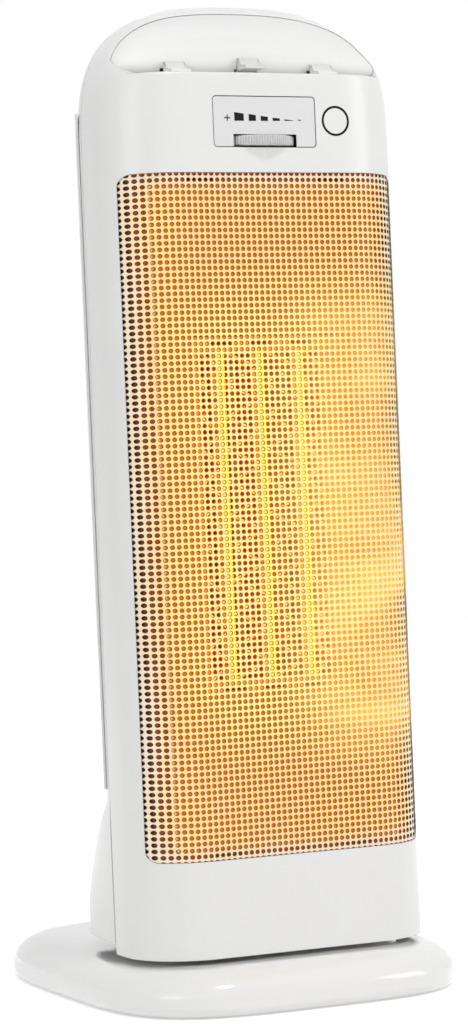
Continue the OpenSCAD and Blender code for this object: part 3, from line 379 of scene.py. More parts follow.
def shade_z(mat, stops):
    """Paints shade into a material: darkens it by grey levels given at heights in millimetres."""
    tree = mat.node_tree
    socket = tree.nodes["Principled BSDF"].inputs["Base Color"]
    low, high = stops[0][0], stops[-1][0]
    height = map_range(tree, place_of(tree)[1]["Z"], low * MM, high * MM)
    made = tree.nodes.new("ShaderNodeValToRGB")
    bar = made.color_ramp
    while len(bar.elements) < len(stops):
        bar.elements.new(0.5)
    for e, (z, level) in zip(bar.elements, stops):
        e.position = (z - low) / (high - low)
        e.color = (1 - level, 1 - level, 1 - level, 1)
    tree.links.new(height, made.inputs["Fac"])
    tree.links.new(mix(tree, made.outputs["Color"], socket.links[0].from_socket, "101010"), socket)


WINDOW_MID = (0.0, 0.2655)
# Where the bars' light falls on the grille, as the camera sees them through it
BAR_BANDS = (-0.032, -0.0085, 0.015)
# Painted glow on the grille's web, from cream at the window's edges to yellow before the block
GRILLE_STOPS = [(0.0, "F6E6D0"), (0.25, "F7DAA4"), (0.5, "F6D288"), (0.75, "F9DE88"), (1.0, "FBEC92")]
# Painted shade and glow in the grille's holes, from dark at the window's edges to orange-brown inside
HOLE_STOPS = [(0.0, "2A0C02"), (0.3, "501E04"), (0.6, "803804"), (1.0, "944604")]
WHITE = plastic("shell_plastic", srgb("EFEFEE"), rough=0.3, spread=0.008)
COVER = plastic("cover_plastic", srgb("F1F1F0"), rough=0.55, spread=0.006)
# Painted shade on the top cover: darkest in the crease above the lip, lightest about 10 mm up, a little
# darker towards the crest
shade_z(COVER, [(LIP, 0.5), (LIP + 2.5, 0.7), (LIP + 6.5, 0.95), (LIP + 10.0, 1.0), (LIP + 20.0, 0.96),
                (CREST, 0.9)])
KEY = plastic("key_plastic", srgb("F3F3F2"), rough=0.3, spread=0.008)
# Painted shade on the keys' rising backs
shade_z(KEY, [(LIP + 2.4, 1.0), (LIP + 4.6, 0.86), (LIP + 8.0, 0.8)])
BASE = plastic("base_plastic", srgb("F2F2F1"), rough=0.12, spread=0.006, grain=0.02, bump=0.01, coat=0.6)
PANEL = plastic("panel_plastic", srgb("E6E6E6"), rough=0.4, spread=0.008, bevel=0.0003)
WHEEL = plastic("wheel_plastic", srgb("D8D8D8"), rough=0.4, spread=0.01, bevel=0.0001)
DARK = plastic("dark_plastic", (0.03, 0.03, 0.032), rough=0.5, spread=0.008)
INK = plastic("printed_ink", (0.008, 0.008, 0.008), rough=0.6, spread=0.003, bump=0.0, spec=0.15)
# Black for painted shade in the thumbwheel's window and the panel's groove
SHADE_BLACK = plastic("painted_shade_rim", (0.006, 0.006, 0.006), rough=0.7, spread=0.002, bump=0.0, spec=0.1)
TRAY = plastic("tray_plastic", srgb("DADAD6"), rough=0.5, spread=0.015)
IVORY = plastic("ivory_plastic", srgb("E9E2CF"), rough=0.45, spread=0.015)
RUBBER = plastic("foot_rubber", (0.11, 0.11, 0.115), rough=0.7, spread=0.02, scale=1500.0, bump=0.15)
RED = plastic("plunger_plastic", (0.45, 0.03, 0.02), rough=0.4, spread=0.02)
STEEL = metal("plated_steel", (0.62, 0.62, 0.63))
MOTOR = metal("motor_steel", (0.5, 0.5, 0.52), rough=0.4)
BRASS = metal("bearing_bronze", (0.72, 0.5, 0.22), rough=0.35)
COPPER = metal("coil_copper", (0.75, 0.32, 0.14), rough=0.3, brushed=400.0)
GRILLE = grille_material()
HOLE = hole_material()
# Painted glow and painted shade from the heating block on the parts seen through the grille
GUIDE = block_glow_material("guide_plastic", [(0.0, "A05020"), (0.35, "A8541C"), (0.52, "FFECC0"), (0.68, "CC8620"),
                                       (1.0, "CC8218")], WINDOW_MID, (0.067, 0.1805), 0.004, 0.36, 0.0765)
FINS = deep_material("fin_aluminium", [(0.0, "FFF0B0"), (0.12, "FFD060"), (0.28, "D83000"), (0.6, "BC1C00"),
                                       (1.0, "A41200")], 0.01, 0.8)
BARS = deep_material("bar_ceramic", [(0.0, "FFEC60"), (0.3, "FFD02C"), (1.0, "C05800")], 0.01, 1.0)
FILTER = deep_material("filter_mesh", [(0.0, "701408"), (1.0, "2C0A04")], 0.1, 1.0, rough=0.8, turn=-0.6)
CAPS = deep_material("cap_plastic", [(0.0, "EC9A34"), (0.35, "DC7C20"), (0.7, "5A1400"), (1.0, "3A0C00")],
                     0.006, 0.6)
RAILS = deep_material("rail_steel", [(0.0, "EC9430"), (0.4, "DC7818"), (1.0, "8A2800")], 0.01, 0.6,
                      dark_x=0.0405)
FAN = deep_material("fan_plastic", [(0.0, "B82000"), (1.0, "6A0E00")], 0.05, 0.65, turn=0.35)

# The material of each CAD node that stays in view
FINISH = {
    TRAY: ["base_plate", "chassis", "deck_low", "deck_top", "cord_gland"],
    RUBBER: ["rubber_feet"],
    STEEL: ["base_screws", "retaining_ring", "slot_arm", "switch_bracket", "motor_bracket", "case_screws",
            "heater_terminals", "fan_shaft", "thermal_cutout"],
    IVORY: ["pivot_column", "slide_ring", "swivel_bush", "crank", "terminal_block", "thermostat"],
    DARK: ["switch_left", "switch_middle", "switch_right", "tip_switch", "wire_loom"],
    CAPS: ["heater_cap_low", "heater_cap_top"], RAILS: ["heater_rails"],
    FAN: ["fan_wheel", "scroll_wall", "scroll_tongue"],
    RED: ["tip_plunger"], FILTER: ["inlet_filter"], MOTOR: ["swing_motor", "fan_motor", "fan_rotor"],
    BRASS: ["shaft_bearing"], COPPER: ["motor_coil"], GUIDE: ["air_guide"], FINS: ["fins"],
    BARS: ["ceramic_bars"], WHITE: ["front_shell", "rear_cover", "inlet_panel", "top_cover"],
    BASE: ["base_cover"], GRILLE: ["grille"],
    PANEL: ["control_panel"], WHEEL: ["thumbwheel"], KEY: ["key_left", "key_middle", "key_right"],
}
for mat, names in FINISH.items():
    for name in names:
        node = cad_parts[name]
        node.data.materials.clear()
        node.data.materials.append(mat)


# ---- Mesh helpers ----
def mesh_object(name, points, faces, mat, angle=32.0):
    """An object from points in millimetres, smooth but for edges sharper than angle."""
    mesh = bpy.data.meshes.new(name)
    mesh.from_pydata([tuple(float(c) * MM for c in p) for p in points], [], faces)
    mesh.validate()
    obj = bpy.data.objects.new(name, mesh)
    scene.collection.objects.link(obj)
    finish(obj, mat, angle)
    return obj


def finish(obj, mat, angle=32.0):
    obj.data.materials.clear()
    obj.data.materials.append(mat)
    obj.data.shade_smooth()
    obj.data.set_sharp_from_angle(angle=math.radians(angle))


def place(obj, body, slot, *replaced):
    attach(obj, body)
    if replaced:
        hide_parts(*replaced)
    return obj


def boolean(obj, tools, operation="DIFFERENCE"):
    """Cuts obj by the tools, which are removed."""
    for tool in tools:
        mod = obj.modifiers.new("cut", "BOOLEAN")
        mod.object = tool
        mod.operation = operation
        mod.solver = "EXACT"
    deps = bpy.context.evaluated_depsgraph_get()
    made = bpy.data.meshes.new_from_object(obj.evaluated_get(deps))
    obj.modifiers.clear()
    old = obj.data
    obj.data = made
    bpy.data.meshes.remove(old)
    for tool in tools:
        data = tool.data
        bpy.data.objects.remove(tool)
        bpy.data.meshes.remove(data)
    return obj


def joined(tools):
    """One object of several tools that don't touch."""
    bm = bmesh.new()
    for tool in tools:
        bm.from_mesh(tool.data)
        bpy.data.objects.remove(tool)
    mesh = bpy.data.meshes.new("tools")
    bm.to_mesh(mesh)
    bm.free()
    obj = bpy.data.objects.new("tools", mesh)
    scene.collection.objects.link(obj)
    return obj


def copy_of(name, mat, body, slot):
    """A welded, smooth-shaded copy of a CAD node, which it stands for."""
    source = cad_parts[name]
    bm = bmesh.new()
    bm.from_mesh(source.data)
    bmesh.ops.remove_doubles(bm, verts=bm.verts, dist=1e-6)
    mesh = bpy.data.meshes.new(name + "_skin")
    bm.to_mesh(mesh)
    bm.free()
    obj = bpy.data.objects.new(name + "_skin", mesh)
    scene.collection.objects.link(obj)
    finish(obj, mat, 30.0)
    return place(obj, body, slot, name)


def loft(name, rings, mat, angle=32.0):
    """A closed solid through rings of points that all have one count."""
    m = len(rings[0])
    points = np.concatenate(rings)
    faces = [list(range(m))[::-1]]
    for k in range(len(rings) - 1):
        a = k * m
        faces += [(a + i, a + (i + 1) % m, a + m + (i + 1) % m, a + m + i) for i in range(m)]
    faces.append([(len(rings) - 1) * m + i for i in range(m)])
    return mesh_object(name, points, faces, mat, angle)


def prism_y(name, outline, y0, y1):
    """A prism along Y over an outline of (x, z)."""
    rings = [np.array([(x, y, z) for x, z in outline]) for y in (y1, y0)]
    return loft(name, rings, WHITE)


def box(name, x0, x1, y0, y1, z0, z1):
    return prism_y(name, [(x0, z0), (x1, z0), (x1, z1), (x0, z1)], y0, y1)


def round_rect(cx, cz, w, h, r, steps=10):
    out = []
    for k, (sx, sz) in enumerate(((1, 1), (-1, 1), (-1, -1), (1, -1))):
        for i in range(steps + 1):
            a = math.radians(90 * k + 90 * i / steps)
            out.append((cx + sx * (w / 2 - r) + r * math.cos(a), cz + sz * (h / 2 - r) + r * math.sin(a)))
    return out


# ---- Forms of the tower and base ----
def arch_hw(z, o=0.0):
    """Half-width of the tower at height z, moved inward by o."""
    t = max(0.0, min(1.0, (z - (CREST - ARCH_RISE)) / (ARCH_RISE - o)))
    return (BODY_HW - o) * (1 - t ** ARCH_POWER) ** (1 / ARCH_POWER)


# Number of points on the front of a ring: two corners of 17 and the 23 between them
FRONT_COUNT = 57


def plan_ring(o, depth, n, corner=16, back=72, front=24):
    """Outline of the tower from above, moved inward by o, with its back bulged by depth and power n."""
    out = []
    for i in range(corner + 1):
        a = math.radians(180 + 90 * i / corner)
        out.append((-BODY_HW + CORNER_R + (CORNER_R - o) * math.cos(a),
                    SIDE_Y + (CORNER_R - o) * math.sin(a)))
    flat = BODY_HW - CORNER_R
    out += [(-flat + 2 * flat * i / front, FRONT_Y + o) for i in range(1, front)]
    for i in range(corner + 1):
        a = math.radians(270 + 90 * i / corner)
        out.append((BODY_HW - CORNER_R + (CORNER_R - o) * math.cos(a), SIDE_Y + (CORNER_R - o) * math.sin(a)))
    for i in range(1, back):
        a = math.pi * i / back
        c, s = math.cos(a), math.sin(a)
        out.append(((BODY_HW - o) * math.copysign(abs(c) ** (2 / n), c),
                    BACK_Y + (depth - o) * abs(s) ** (2 / n)))
    return np.array(out)


def slope_y(z, o=0.0):
    """Y of the sloping cover at height z."""
    zs = [LIP + p[1] * (CREST - LIP) / 41 - o for p in SLOPE]
    ys = [FRONT_Y + SETBACK + p[0] * COVER_RUN / 25 + o for p in SLOPE]
    return float(np.interp(z, zs, ys))


EDGE_R = 1.6
BULGE, BULGE_POWER, BULGE_RISE, BLEND, FLOW = 16.0, 2.5, 19.0, 5.0, 8.0


def brow(x, z, hw, o):
    """Y of the bulging front of the top at x, where the tower is hw wide to each side."""
    t = np.clip(np.abs(x) / hw, 0, 1) ** BULGE_POWER
    rise = min(1.0, max(0.0, (z - LIP + o) / BULGE_RISE))
    return slope_y(z, o) + BULGE * rise * rise * (3 - 2 * rise) * (1 - (1 - t) ** (1 / BULGE_POWER))


def cover_outline(o):
    """Outline of the top cover from the front, moved inward by o, with rounded lower corners."""
    right = []
    for i in range(1, 65):
        a = math.radians(90 * i / 64)
        inset = 0.9 + 3.6 * math.sin(a) ** 2 + o
        right.append((BODY_HW * math.cos(a) ** (2 / ARCH_POWER) - inset,
                      CREST - ARCH_RISE + ARCH_RISE * math.sin(a) ** (2 / ARCH_POWER) - inset * math.sin(a)))
    right[-1] = (0.0, right[-1][1])
    low, r = LIP + 0.02 + o, 9.0
    right = [p for p in right if p[1] > low + r and p[0] >= 0]
    edge = right[0][0]
    corner = [(edge - r + r * math.sin(math.radians(v)), low + r - r * math.cos(math.radians(v)))
              for v in range(0, 90, 9)]
    half = corner + right
    return half + [(-x, z) for x, z in half[::-1] if x > 0]


def tower_form(name, o, low, flare=False, flow=0.0):
    """The whole tower as one closed solid, moved inward by o, with its front set back over the shelf."""
    zs = list(np.linspace(low, CREST - ARCH_RISE, 30 if not flare else 60))
    if flare:
        zs = sorted(set([round(z, 3) for z in zs] + [float(z) for z in range(int(low) + 1, 116, 3)]))
    top = CREST - o
    for i in range(1, 61):
        a = math.radians(90 * i / 60)
        zs.append(CREST - ARCH_RISE + (ARCH_RISE - o) * math.sin(a) ** (2 / ARCH_POWER))
    lip = LIP - o
    zs = [z for z in zs if abs(z - lip) > 0.4 and not (lip - EDGE_R - 0.3 < z < lip + 0.3)]
    edge = [(lip - EDGE_R * (1 - math.sin(math.radians(a))), EDGE_R * (1 - math.cos(math.radians(a))))
            for a in (0, 18, 36, 54, 72, 90)]
    extra = [(z, 0.0, False) for z in zs] + [(z, inset, False) for z, inset in edge]
    extra += [(lip + h, 0.0, True) for h in ((0.5, 3.0, 6.0, 9.0, 12.0, 15.0) if flow else (0.001,))]
    rings = []
    fz, fs = zip(*FLARE)
    for z, inset, above in sorted(extra, key=lambda e: (e[0], e[2])):
        s = float(np.interp(z, fz, fs)) if flare else 0.0
        depth, n = BACK_DEPTH + s * (FLARE_DEPTH - BACK_DEPTH), BACK_POWER + s * (FLARE_POWER - BACK_POWER)
        ring = plan_ring(o, depth, n)
        if inset:
            inner = plan_ring(o + inset, depth, n)
            weight = np.clip((BODY_HW - 8 - np.abs(ring[:, 0])) / 8, 0, 1)[:, None]
            weight = weight * (ring[:, 1:] < BACK_Y - 1)
            ring = ring * (1 - weight) + inner * weight
        hw = max(arch_hw(z, o), 1.5)
        ring[:, 0] *= hw / (BODY_HW - o)
        if z > lip + 0.0005:
            head = ring[:FRONT_COUNT, 1]
            front = np.minimum(brow(ring[:FRONT_COUNT, 0], z, hw, o), BACK_Y - 4 + o)
            soft = BLEND * np.clip(np.abs(ring[:FRONT_COUNT, 0]) / hw, 0, 1) ** 3
            moved = (head + front + np.sqrt((head - front) ** 2 + soft ** 2)) / 2
            moved = np.minimum(moved, BACK_Y - 3.2 + 0.8 * o)
            t = min(1.0, (z - lip) / flow) if flow else 1.0
            ring[:FRONT_COUNT, 1] = head + t * t * (3 - 2 * t) * (moved - head)
        fall = max(0.0, z - (CREST - 14 - o)) / 14
        shrink = 1 - (1 - math.sqrt(max(0.0, 1 - fall ** 2))) * 0.3
        behind = ring[:, 1] > BACK_Y
        ring[behind, 1] = BACK_Y + (ring[behind, 1] - BACK_Y) * shrink
        rings.append(np.column_stack([ring, np.full(len(ring), min(z, top))]))
    return loft(name, rings, WHITE)


def key_spots():
    return [KEY_SHIFT + k * KEY_PITCH for k in (-1, 0, 1)]


def front_shell():
    shell = tower_form("front_shell_skin", 0.0, BOTTOM, flow=FLOW)
    inner = tower_form("inner", WALL, BOTTOM - 6)
    tools = [
        inner,
        box("rear", -PAST, PAST, SEAM_Y - SLACK, PAST, 0, 3 * PAST),
        prism_y("cover_hole", cover_outline(0.0), FRONT_Y - 5, COVER_END),
        prism_y("window", round_rect(0, (WINDOW_LOW + WINDOW_HIGH) / 2, 2 * WINDOW_HW,
                                     WINDOW_HIGH - WINDOW_LOW, WINDOW_R), FRONT_Y - 5, FRONT_Y + CORNER_R),
        prism_y("panel_hole", round_rect(PANEL_X, PANEL_LOW + PANEL_H / 2, PANEL_W + 0.4, PANEL_H + 0.4,
                                         PANEL_R + 0.4), FRONT_Y - 5, FRONT_Y + 1.4),
        box("wheel_slot", PANEL_X - SLOT_W / 2, PANEL_X + SLOT_W / 2, FRONT_Y - 5, FRONT_Y + 6,
            PANEL_LOW, PANEL_LOW + SLOT_H),
    ]
    for x in key_spots():
        tools.append(box("key_slot", x - KEY_W / 2 - SLACK, x + KEY_W / 2 + SLACK, KEY_Y + 9, KEY_Y + 19,
                         LIP - 5, LIP + 5))
    boolean(shell, tools)
    finish(shell, WHITE)
    return place(shell, "tower", "shell", "front_shell")


def top_cover():
    cover = tower_form("top_cover_skin", 0.25, LIP - 20)
    body = prism_y("cover_body", cover_outline(0.2), FRONT_Y + SETBACK - 5, COVER_END - 0.5)
    boolean(cover, [body], "INTERSECT")
    boolean(cover, [tower_form("inner", WALL + 0.5, LIP - 30)])
    # one tool for the three notches: cut one after the other they leave no cover
    boolean(cover, [joined([box("notch", x - KEY_W / 2 - 1.3, x + KEY_W / 2 + SLACK, KEY_Y + 5, KEY_Y + 20,
                                LIP - 5, LIP + 4.5) for x in key_spots()])])
    finish(cover, COVER)
    return place(cover, "tower", "shell", "top_cover")


def rear_cover():
    low = 34.0
    shell = tower_form("rear_cover_skin", 0.0, low, flare=True)
    inner = tower_form("inner", WALL, low - 8, flare=True)
    slope_end = BACK_Y + 2 * FLARE_DEPTH
    rise = 18 * (slope_end - SEAM_Y) / (BACK_Y + FLARE_DEPTH - SEAM_Y)

    def wedge(name, up):
        side = [(FRONT_Y - 5, -50), (FRONT_Y - 5, low + up), (SEAM_Y, low + up),
                (slope_end, low + rise + up), (slope_end, -50)]
        rings = [np.array([(x, y, z) for y, z in side]) for x in (-PAST, PAST)]
        return loft(name, rings, WHITE)

    boolean(inner, [wedge("floor", WALL)])
    tools = [
        inner, wedge("below", 0.0),
        box("front", -PAST, PAST, FRONT_Y - 5, SEAM_Y + SLACK, 0, 3 * PAST),
        box("tray", -52.3, 52.3, FRONT_Y - 5, PIVOT_Y + 26.3, 0, 48.3),
        box("inlet", -62, 62, BACK_Y + 20, PAST, 126, 482),
    ]
    screw_x, angles = 70, np.linspace(0, 2 * math.pi, 32, endpoint=False)
    for x in (-screw_x, screw_x):
        for depth, n, z in ((BACK_DEPTH + 15, 2.5, 98), (BACK_DEPTH, BACK_POWER, 498)):
            y = BACK_Y + back_at(screw_x, depth, n) - 5
            for r, y0, y1 in ((3.4, y, y + 40), (1.6, y - 30, y + 1)):
                circle = [(x + r * math.cos(a), z + r * math.sin(a)) for a in angles]
                tools.append(prism_y("screw_hole", circle, y0, y1))
    boolean(shell, tools)
    finish(shell, WHITE)
    return place(shell, "tower", "shell", "rear_cover")


def back_at(x, depth, n):
    return depth * (1 - (abs(x) / BODY_HW) ** n) ** (1 / n)


def superellipse(hw, hd, n, count):
    a = np.linspace(0, 2 * math.pi, count, endpoint=False)
    c, s = np.cos(a), np.sin(a)
    return np.column_stack([hw * np.sign(c) * np.abs(c) ** (2 / n), hd * np.sign(s) * np.abs(s) ** (2 / n)])


def base_cover():
    """The glossy base: rings of one smooth curve from its lower edge up over the crown to the turret."""
    knots, count = np.array(BASE_CURVE, float), 240
    along = np.concatenate([[0], np.cumsum(np.hypot(*np.diff(knots, axis=0).T))])
    fine = np.linspace(0, along[-1], 60)
    z = smooth_through(along, knots[:, 0], fine)
    inset = np.maximum(smooth_through(along, knots[:, 1], fine), 0.05)
    scale = (BASE_H - FOOT_H) / knots[-1, 0]
    rings = []
    for zi, oi in zip(z, inset):
        ring = superellipse(BASE_HW - oi, BASE_HD - oi, BASE_POWER, count)
        rings.append(np.column_stack([ring, np.full(count, FOOT_H + zi * scale)]))
    rings[0][:, 2] = FOOT_H
    # the crown runs in flat to the turret's foot, and the turret rises from it
    t = np.linspace(0, 1, 12)[1:]
    edge = rings[-1][:, :2]
    angle = np.arctan2(edge[:, 1] - PIVOT_Y, edge[:, 0])
    foot = np.column_stack([TURRET_R * np.cos(angle), PIVOT_Y + TURRET_R * np.sin(angle)])
    for s in t:
        rings.append(np.column_stack([edge * (1 - s) + foot * s, np.full(count, BASE_H)]))
    for r, h in ((TURRET_R, BASE_H + 0.01), (TURRET_R, TURRET_Z - 0.6), (TURRET_R - 0.6, TURRET_Z),
                 (TURRET_R - 8, TURRET_Z)):
        rings.append(np.column_stack([r * np.cos(angle), PIVOT_Y + r * np.sin(angle), np.full(count, h)]))
    # and the skin turns under into the lower edge and back up inside
    inner = []
    for zi, oi in ((0.0, BASE_CURVE[0][1] + 2.6), (5.0, 2.6), (10.0, 2.7)):
        ring = superellipse(BASE_HW - oi, BASE_HD - oi, BASE_POWER, count)
        inner.append(np.column_stack([ring, np.full(count, FOOT_H + zi)]))
    obj = loft("base_cover_skin", inner[::-1] + rings, BASE)
    return place(obj, "base", "base", "base_cover")


def smooth_through(x, y, at):
    """Values at the given places on a smooth curve through the knots."""
    slopes = np.gradient(y, x)
    i = np.clip(np.searchsorted(x, at) - 1, 0, len(x) - 2)
    h = x[i + 1] - x[i]
    t = (at - x[i]) / h
    return ((2 * t**3 - 3 * t**2 + 1) * y[i] + (t**3 - 2 * t**2 + t) * h * slopes[i]
            + (-2 * t**3 + 3 * t**2) * y[i + 1] + (t**3 - t**2) * h * slopes[i + 1])


# ---- Grille ----
def front_y_at(x, o):
    """Y of the front face at x, moved inward by o."""
    over = np.clip(np.abs(x) - (BODY_HW - CORNER_R), 0, CORNER_R - o - 1e-3)
    return SIDE_Y - np.sqrt((CORNER_R - o) ** 2 - over ** 2)


def grille():
    """The perforated front: 49 columns of holes, projected along Y onto the curved sheet."""
    pitch, face_in, back_in = 3.4, 1.0, 1.45
    hole_r, back_r = 1.27, 0.8
    hw = WINDOW_HW - 0.25
    low, high = WINDOW_LOW + 0.25, WINDOW_HIGH - 0.25
    cols = 49
    first_z = 450.65
    count = 12
    a = 2 * math.pi * np.arange(count) / count
    circle = np.column_stack([np.cos(a), np.sin(a)])
    square = circle / np.abs(circle).max(1)[:, None] * pitch / 2
    corner = np.array([round(math.cos(v) * math.sin(v), 6) != 0
                       and abs(abs(math.cos(v)) - abs(math.sin(v))) < 0.4 for v in a])
    square[corner] = np.sign(square[corner]) * pitch / 2
    rows = int((first_z - low) / pitch) + 2
    band = 37
    for part, start in enumerate(range(0, rows, band)):
        points, faces, walls, keyed = [], [], [], {}

        def vertex(x, z, o):
            key = (round(x, 2), round(z, 2), o)
            if key not in keyed:
                keyed[key] = len(points)
                points.append((x, float(front_y_at(x, o)), z))
            return keyed[key]

        for j in range(start, min(start + band, rows)):
            zc = first_z - j * pitch
            for i in range(cols):
                xc = (i - (cols - 1) / 2) * pitch
                outer = [fit_in(xc + p[0], zc + p[1], hw, low, high) for p in square]
                inner, behind = ([fit_in(xc + rad * c[0], zc + rad * c[1], hw, low, high) for c in circle]
                                 for rad in (hole_r, back_r))
                for o, turn, hole in ((face_in, 1, inner), (back_in, -1, behind)):
                    ring_o = [vertex(x, z, o) for x, z in outer]
                    ring_i = [vertex(x, z, o) for x, z in hole]
                    for k in range(count):
                        q = [ring_o[k], ring_o[(k + 1) % count], ring_i[(k + 1) % count], ring_i[k]]
                        q = [v for n, v in enumerate(q) if v not in q[:n]]
                        if len(q) > 2:
                            faces.append(q[::turn])
                near = [vertex(x, z, face_in) for x, z in inner]
                far = [vertex(x, z, back_in) for x, z in behind]
                for k in range(count):
                    q = [near[k], near[(k + 1) % count], far[(k + 1) % count], far[k]]
                    if len(set(q)) == 4:
                        walls.append(q)
        obj = mesh_object(f"grille_sheet_{part + 1}", points, faces + walls, GRILLE, 40)
        obj.data.materials.append(HOLE)
        index = np.zeros(len(obj.data.polygons), dtype=np.int32)
        index[len(faces):] = 1
        obj.data.polygons.foreach_set("material_index", index)
        place(obj, "tower", "grille", "grille")


def fit_in(x, z, hw, low, high):
    """A point of the sheet, brought back onto its rounded outline where it lies outside."""
    x, z = max(-hw, min(hw, x)), max(low, min(high, z))
    r = WINDOW_R
    cx = hw - r if x > 0 else -hw + r
    cz = high - r if z > (low + high) / 2 else low + r
    dx, dz = x - cx, z - cz
    if abs(x) > hw - r and (z > high - r or z < low + r):
        d = math.hypot(dx, dz)
        if d > r:
            x, z = cx + dx * r / d, cz + dz * r / d
    return x, z


# ---- Controls ----
def control_panel():
    mid = PANEL_LOW + PANEL_H / 2
    outline = round_rect(PANEL_X, mid, PANEL_W - 0.5, PANEL_H - 0.5, PANEL_R)
    plate = prism_y("control_panel_skin", outline, FRONT_Y + 0.2, FRONT_Y + 1.4)
    boolean(plate, [box("slot", PANEL_X - SLOT_W / 2, PANEL_X + SLOT_W / 2, FRONT_Y - 5, FRONT_Y + 5,
                        PANEL_LOW - 2, PANEL_LOW + SLOT_H)])
    finish(plate, PANEL)
    place(plate, "tower", "panel", "control_panel")
    # printed marks: a plus and a minus with wedges that grow from one to the other, and a plain ring
    for name, px, pz in MARKS:
        mark = prism_y(name, list(zip(px, pz)), FRONT_Y + 0.12, FRONT_Y + 0.21)
        finish(mark, INK)
        place(mark, "tower", "dark")
    ring_x, ring_z, ring_r, line = RING
    steps = 72
    ang = np.linspace(0, 2 * math.pi, steps, endpoint=False)
    pts, faces = [], []
    proud = FRONT_Y - 0.09
    for r, y in ((ring_r, proud), (ring_r - line, proud), (ring_r - line, FRONT_Y), (ring_r, FRONT_Y)):
        pts += [(ring_x + r * math.cos(v), y, ring_z + r * math.sin(v)) for v in ang]
    for b in range(4):
        c = (b + 1) % 4
        faces += [(b * steps + i, b * steps + (i + 1) % steps, c * steps + (i + 1) % steps, c * steps + i)
                  for i in range(steps)]
    place(mesh_object("ring_mark", pts, faces, INK), "tower", "dark")


# Name and outline, as x and z, of each printed mark: a plus, wedges that grow lower, and a minus
MARKS = [
    ("plus_bar", (-25.35, -21.67, -21.67, -25.35), (480.42, 480.42, 480.98, 480.98)),
    ("plus_post", (-23.79, -23.23, -23.23, -23.79), (479.0, 479.0, 482.4, 482.4)),
    ("wedge_1", (-19.3, -13.7, -13.7, -19.3), (479.1, 479.1, 483.0, 483.8)),
    ("wedge_2", (-10.7, -6.5, -6.5, -10.7), (479.1, 479.1, 482.26, 482.84)),
    ("wedge_3", (-3.6, 0.65, 0.65, -3.6), (479.15, 479.15, 481.4, 481.88)),
    ("wedge_4", (3.5, 7.8, 7.8, 3.5), (479.25, 479.25, 480.54, 480.97)),
    ("wedge_5", (10.7, 16.0, 16.0, 10.7), (479.35, 479.35, 479.5, 480.16)),
    ("minus_bar", (18.7, 20.6, 20.6, 18.7), (479.5, 479.5, 480.0, 480.0)),
]
RING = (41.3, 479.55, 8.3, 1.25)


def thumbwheel():
    """The ribbed wheel, whose front edge stands out of its window."""
    r, z0, z1, ribs = 27.0, PANEL_LOW + 0.9, PANEL_LOW + SLOT_H - 0.5, 112
    middle_y = FRONT_Y - 4.5 + r
    per = 8
    a = 2 * math.pi * np.arange(ribs * per) / (ribs * per)
    wave = np.array([0, 0, 0.1, 0.5, 0.8, 0.8, 0.5, 0.1])
    depth = np.tile(wave, ribs)
    rings = []
    for z, cut in ((z0, 1.6), (z0 + 0.25, 0.5), (z0 + 0.8, 0.0), (z1 - 0.8, 0.0), (z1 - 0.25, 0.5),
                   (z1, 1.6)):
        rad = r - depth - cut * 0.6
        rings.append(np.column_stack([PANEL_X + rad * np.cos(a), middle_y + rad * np.sin(a),
                                      np.full(len(a), z)]))
    return place(loft("thumbwheel_skin", rings, WHEEL, 40), "thumbwheel", "panel", "thumbwheel")


def rim(name, outer, inner, y0, y1):
    """A black rim of painted shade between two outlines of as many points, from y0 back to y1."""
    n = len(outer)
    points = [(x, y, z) for y in (y0, y1) for line in (outer, inner) for x, z in line]
    faces = []
    for i in range(n):
        j = (i + 1) % n
        faces += [(i, j, n + j, n + i), (2 * n + i, 3 * n + i, 3 * n + j, 2 * n + j),
                  (i, 2 * n + i, 2 * n + j, j), (n + i, n + j, 3 * n + j, 3 * n + i)]
    place(mesh_object(name, points, faces, SHADE_BLACK), "tower", "dark")


def rims():
    """Painted shade: a black rim inside the thumbwheel's window and one in the groove round the panel."""
    t = 0.35
    mid = PANEL_LOW + SLOT_H / 2
    rim("wheel_window_shade", round_rect(PANEL_X, mid, SLOT_W, SLOT_H, 0.5),
        round_rect(PANEL_X, mid + t / 2, SLOT_W - 2 * t, SLOT_H - t, 0.3), FRONT_Y + 0.5, FRONT_Y + 5.0)
    mid = PANEL_LOW + PANEL_H / 2
    rim("panel_groove_shade", round_rect(PANEL_X, mid, PANEL_W + 0.3, PANEL_H + 0.3, PANEL_R + 0.4),
        round_rect(PANEL_X, mid, PANEL_W - 0.5, PANEL_H - 0.5, PANEL_R), FRONT_Y + 0.35, FRONT_Y + 1.3)


def keys():
    """Three push keys: a low tongue, a hollow rise and a rounded back."""
    profile = [(0, 0.9), (0, 2.2), (0.35, 2.6), (1.0, 2.75), (3.5, 2.95), (5.2, 3.4), (6.6, 4.3), (7.8, 5.5),
               (8.7, 6.7), (9.4, 7.45), (9.9, 7.7), (10.5, 7.7), (10.5, 1.5), (17.5, 1.5), (17.5, -18),
               (13.5, -18), (13.5, 0.8)]
    for (name, up), x in zip((("key_left", 0), ("key_middle", KEY_TRAVEL), ("key_right", 0)), key_spots()):
        rings = []
        r = 0.6
        for t in (0, 30, 60, 90):
            side = r * (1 - math.sin(math.radians(t)))
            cut = r * (1 - math.cos(math.radians(90 - t)))
            rings.append((x - KEY_W / 2 + cut, side))
        levels = [(px, s) for px, s in rings] + [(2 * x - px, s) for px, s in rings[::-1]]
        centre = np.array([7.0, 3.0])
        made = []
        for px, s in levels:
            pts = []
            for py, pz in profile:
                v = np.array([py, pz])
                d = v - centre
                v = v - d / (np.linalg.norm(d) + 1e-9) * s * 0.7
                pts.append((px, KEY_Y + v[0], LIP + v[1] + up))
            made.append(np.array(pts))
        place(loft(name + "_skin", made, KEY, 40), name, "shell", name)


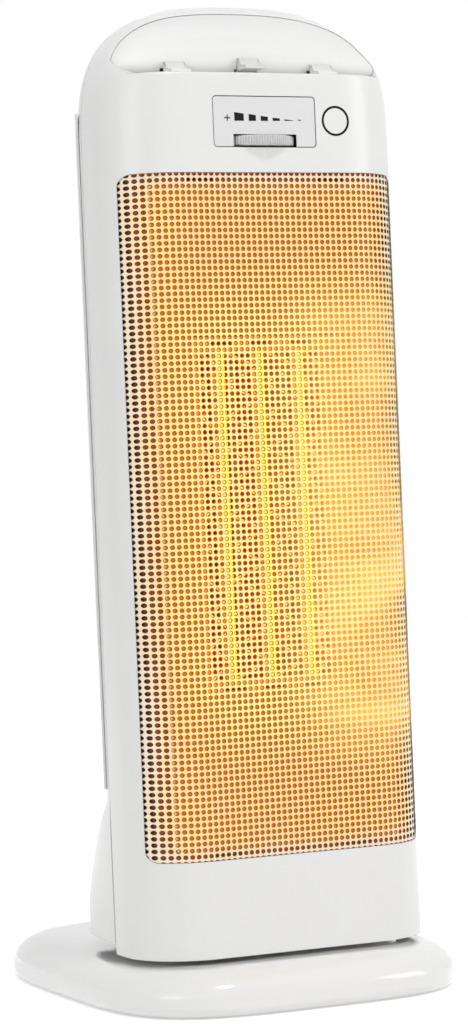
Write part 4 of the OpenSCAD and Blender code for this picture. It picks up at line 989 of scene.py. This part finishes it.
# ---- Build ----
front_shell()
top_cover()
rear_cover()
base_cover()
grille()
control_panel()
thumbwheel()
rims()
keys()
copy_of("inlet_panel", WHITE, "tower", "shell")


# ---- Stage ----
FLOOR_NEAR = 0.5
WORLD_LEVEL = 0.47


def seen(tree):
    """1 for rays from the camera or off glossy and clear surfaces, 0 for the rest."""
    path = tree.nodes.new("ShaderNodeLightPath").outputs
    first = math_node(tree, "MAXIMUM", path["Is Camera Ray"], path["Is Glossy Ray"])
    return math_node(tree, "MAXIMUM", first, path["Is Transmission Ray"])


def stage():
    """A white floor that keeps the heater's shadow and is whiter far off, in an even white room."""
    mat, tree, bsdf = nodes_of("floor_paint")
    bsdf.inputs["Base Color"].default_value = (0.9, 0.9, 0.9, 1)
    bsdf.inputs["Roughness"].default_value = 0.9
    bsdf.inputs["Emission Color"].default_value = (1, 1, 1, 1)
    axes = place_of(tree)[1]
    squares = [math_node(tree, "MULTIPLY", axes[axis], axes[axis]) for axis in "XY"]
    far = math_node(tree, "SQRT", math_node(tree, "ADD", *squares))
    level = map_range(tree, far, 0.25, 0.9, FLOOR_NEAR, 1.0, smooth=True)
    tree.links.new(math_node(tree, "MULTIPLY", seen(tree), level), bsdf.inputs["Emission Strength"])
    side = 4e3
    corners = [(-side, -side, 0), (side, -side, 0), (side, side, 0), (-side, side, 0)]
    mesh_object("floor", corners, [(0, 1, 2, 3)], mat)
    world = bpy.data.worlds.new("studio")
    scene.world = world
    world.use_nodes = True
    tree = world.node_tree
    back = tree.nodes["Background"]
    back.inputs["Color"].default_value = (1, 1, 1, 1)
    tree.links.new(map_range(tree, seen(tree), 0.0, 1.0, WORLD_LEVEL, 1.0), back.inputs["Strength"])


def lamp(name, place_m, target, size, watts):
    """A rectangular lamp at a place in metres, turned to its target."""
    data = bpy.data.lights.new(name, "AREA")
    data.shape = "RECTANGLE"
    data.size, data.size_y = size
    data.energy = watts
    obj = bpy.data.objects.new(name, data)
    scene.collection.objects.link(obj)
    obj.location = place_m
    obj.rotation_mode = "QUATERNION"
    obj.rotation_quaternion = (Vector(target) - Vector(place_m)).to_track_quat("-Z", "Y")


stage()
lamp("key_light", (1.9, -1.7, 0.9), (0, 0, 0.28), (1.2, 1.2), 14.5)
lamp("fill_light", (-2.0, -0.9, 0.7), (0, 0, 0.28), (1.0, 1.4), 9)
lamp("top_light", (0.05, -1.0, 2.3), (0, 0, 0.35), (0.25, 0.25), 14)
scene.view_settings.view_transform = "Standard"
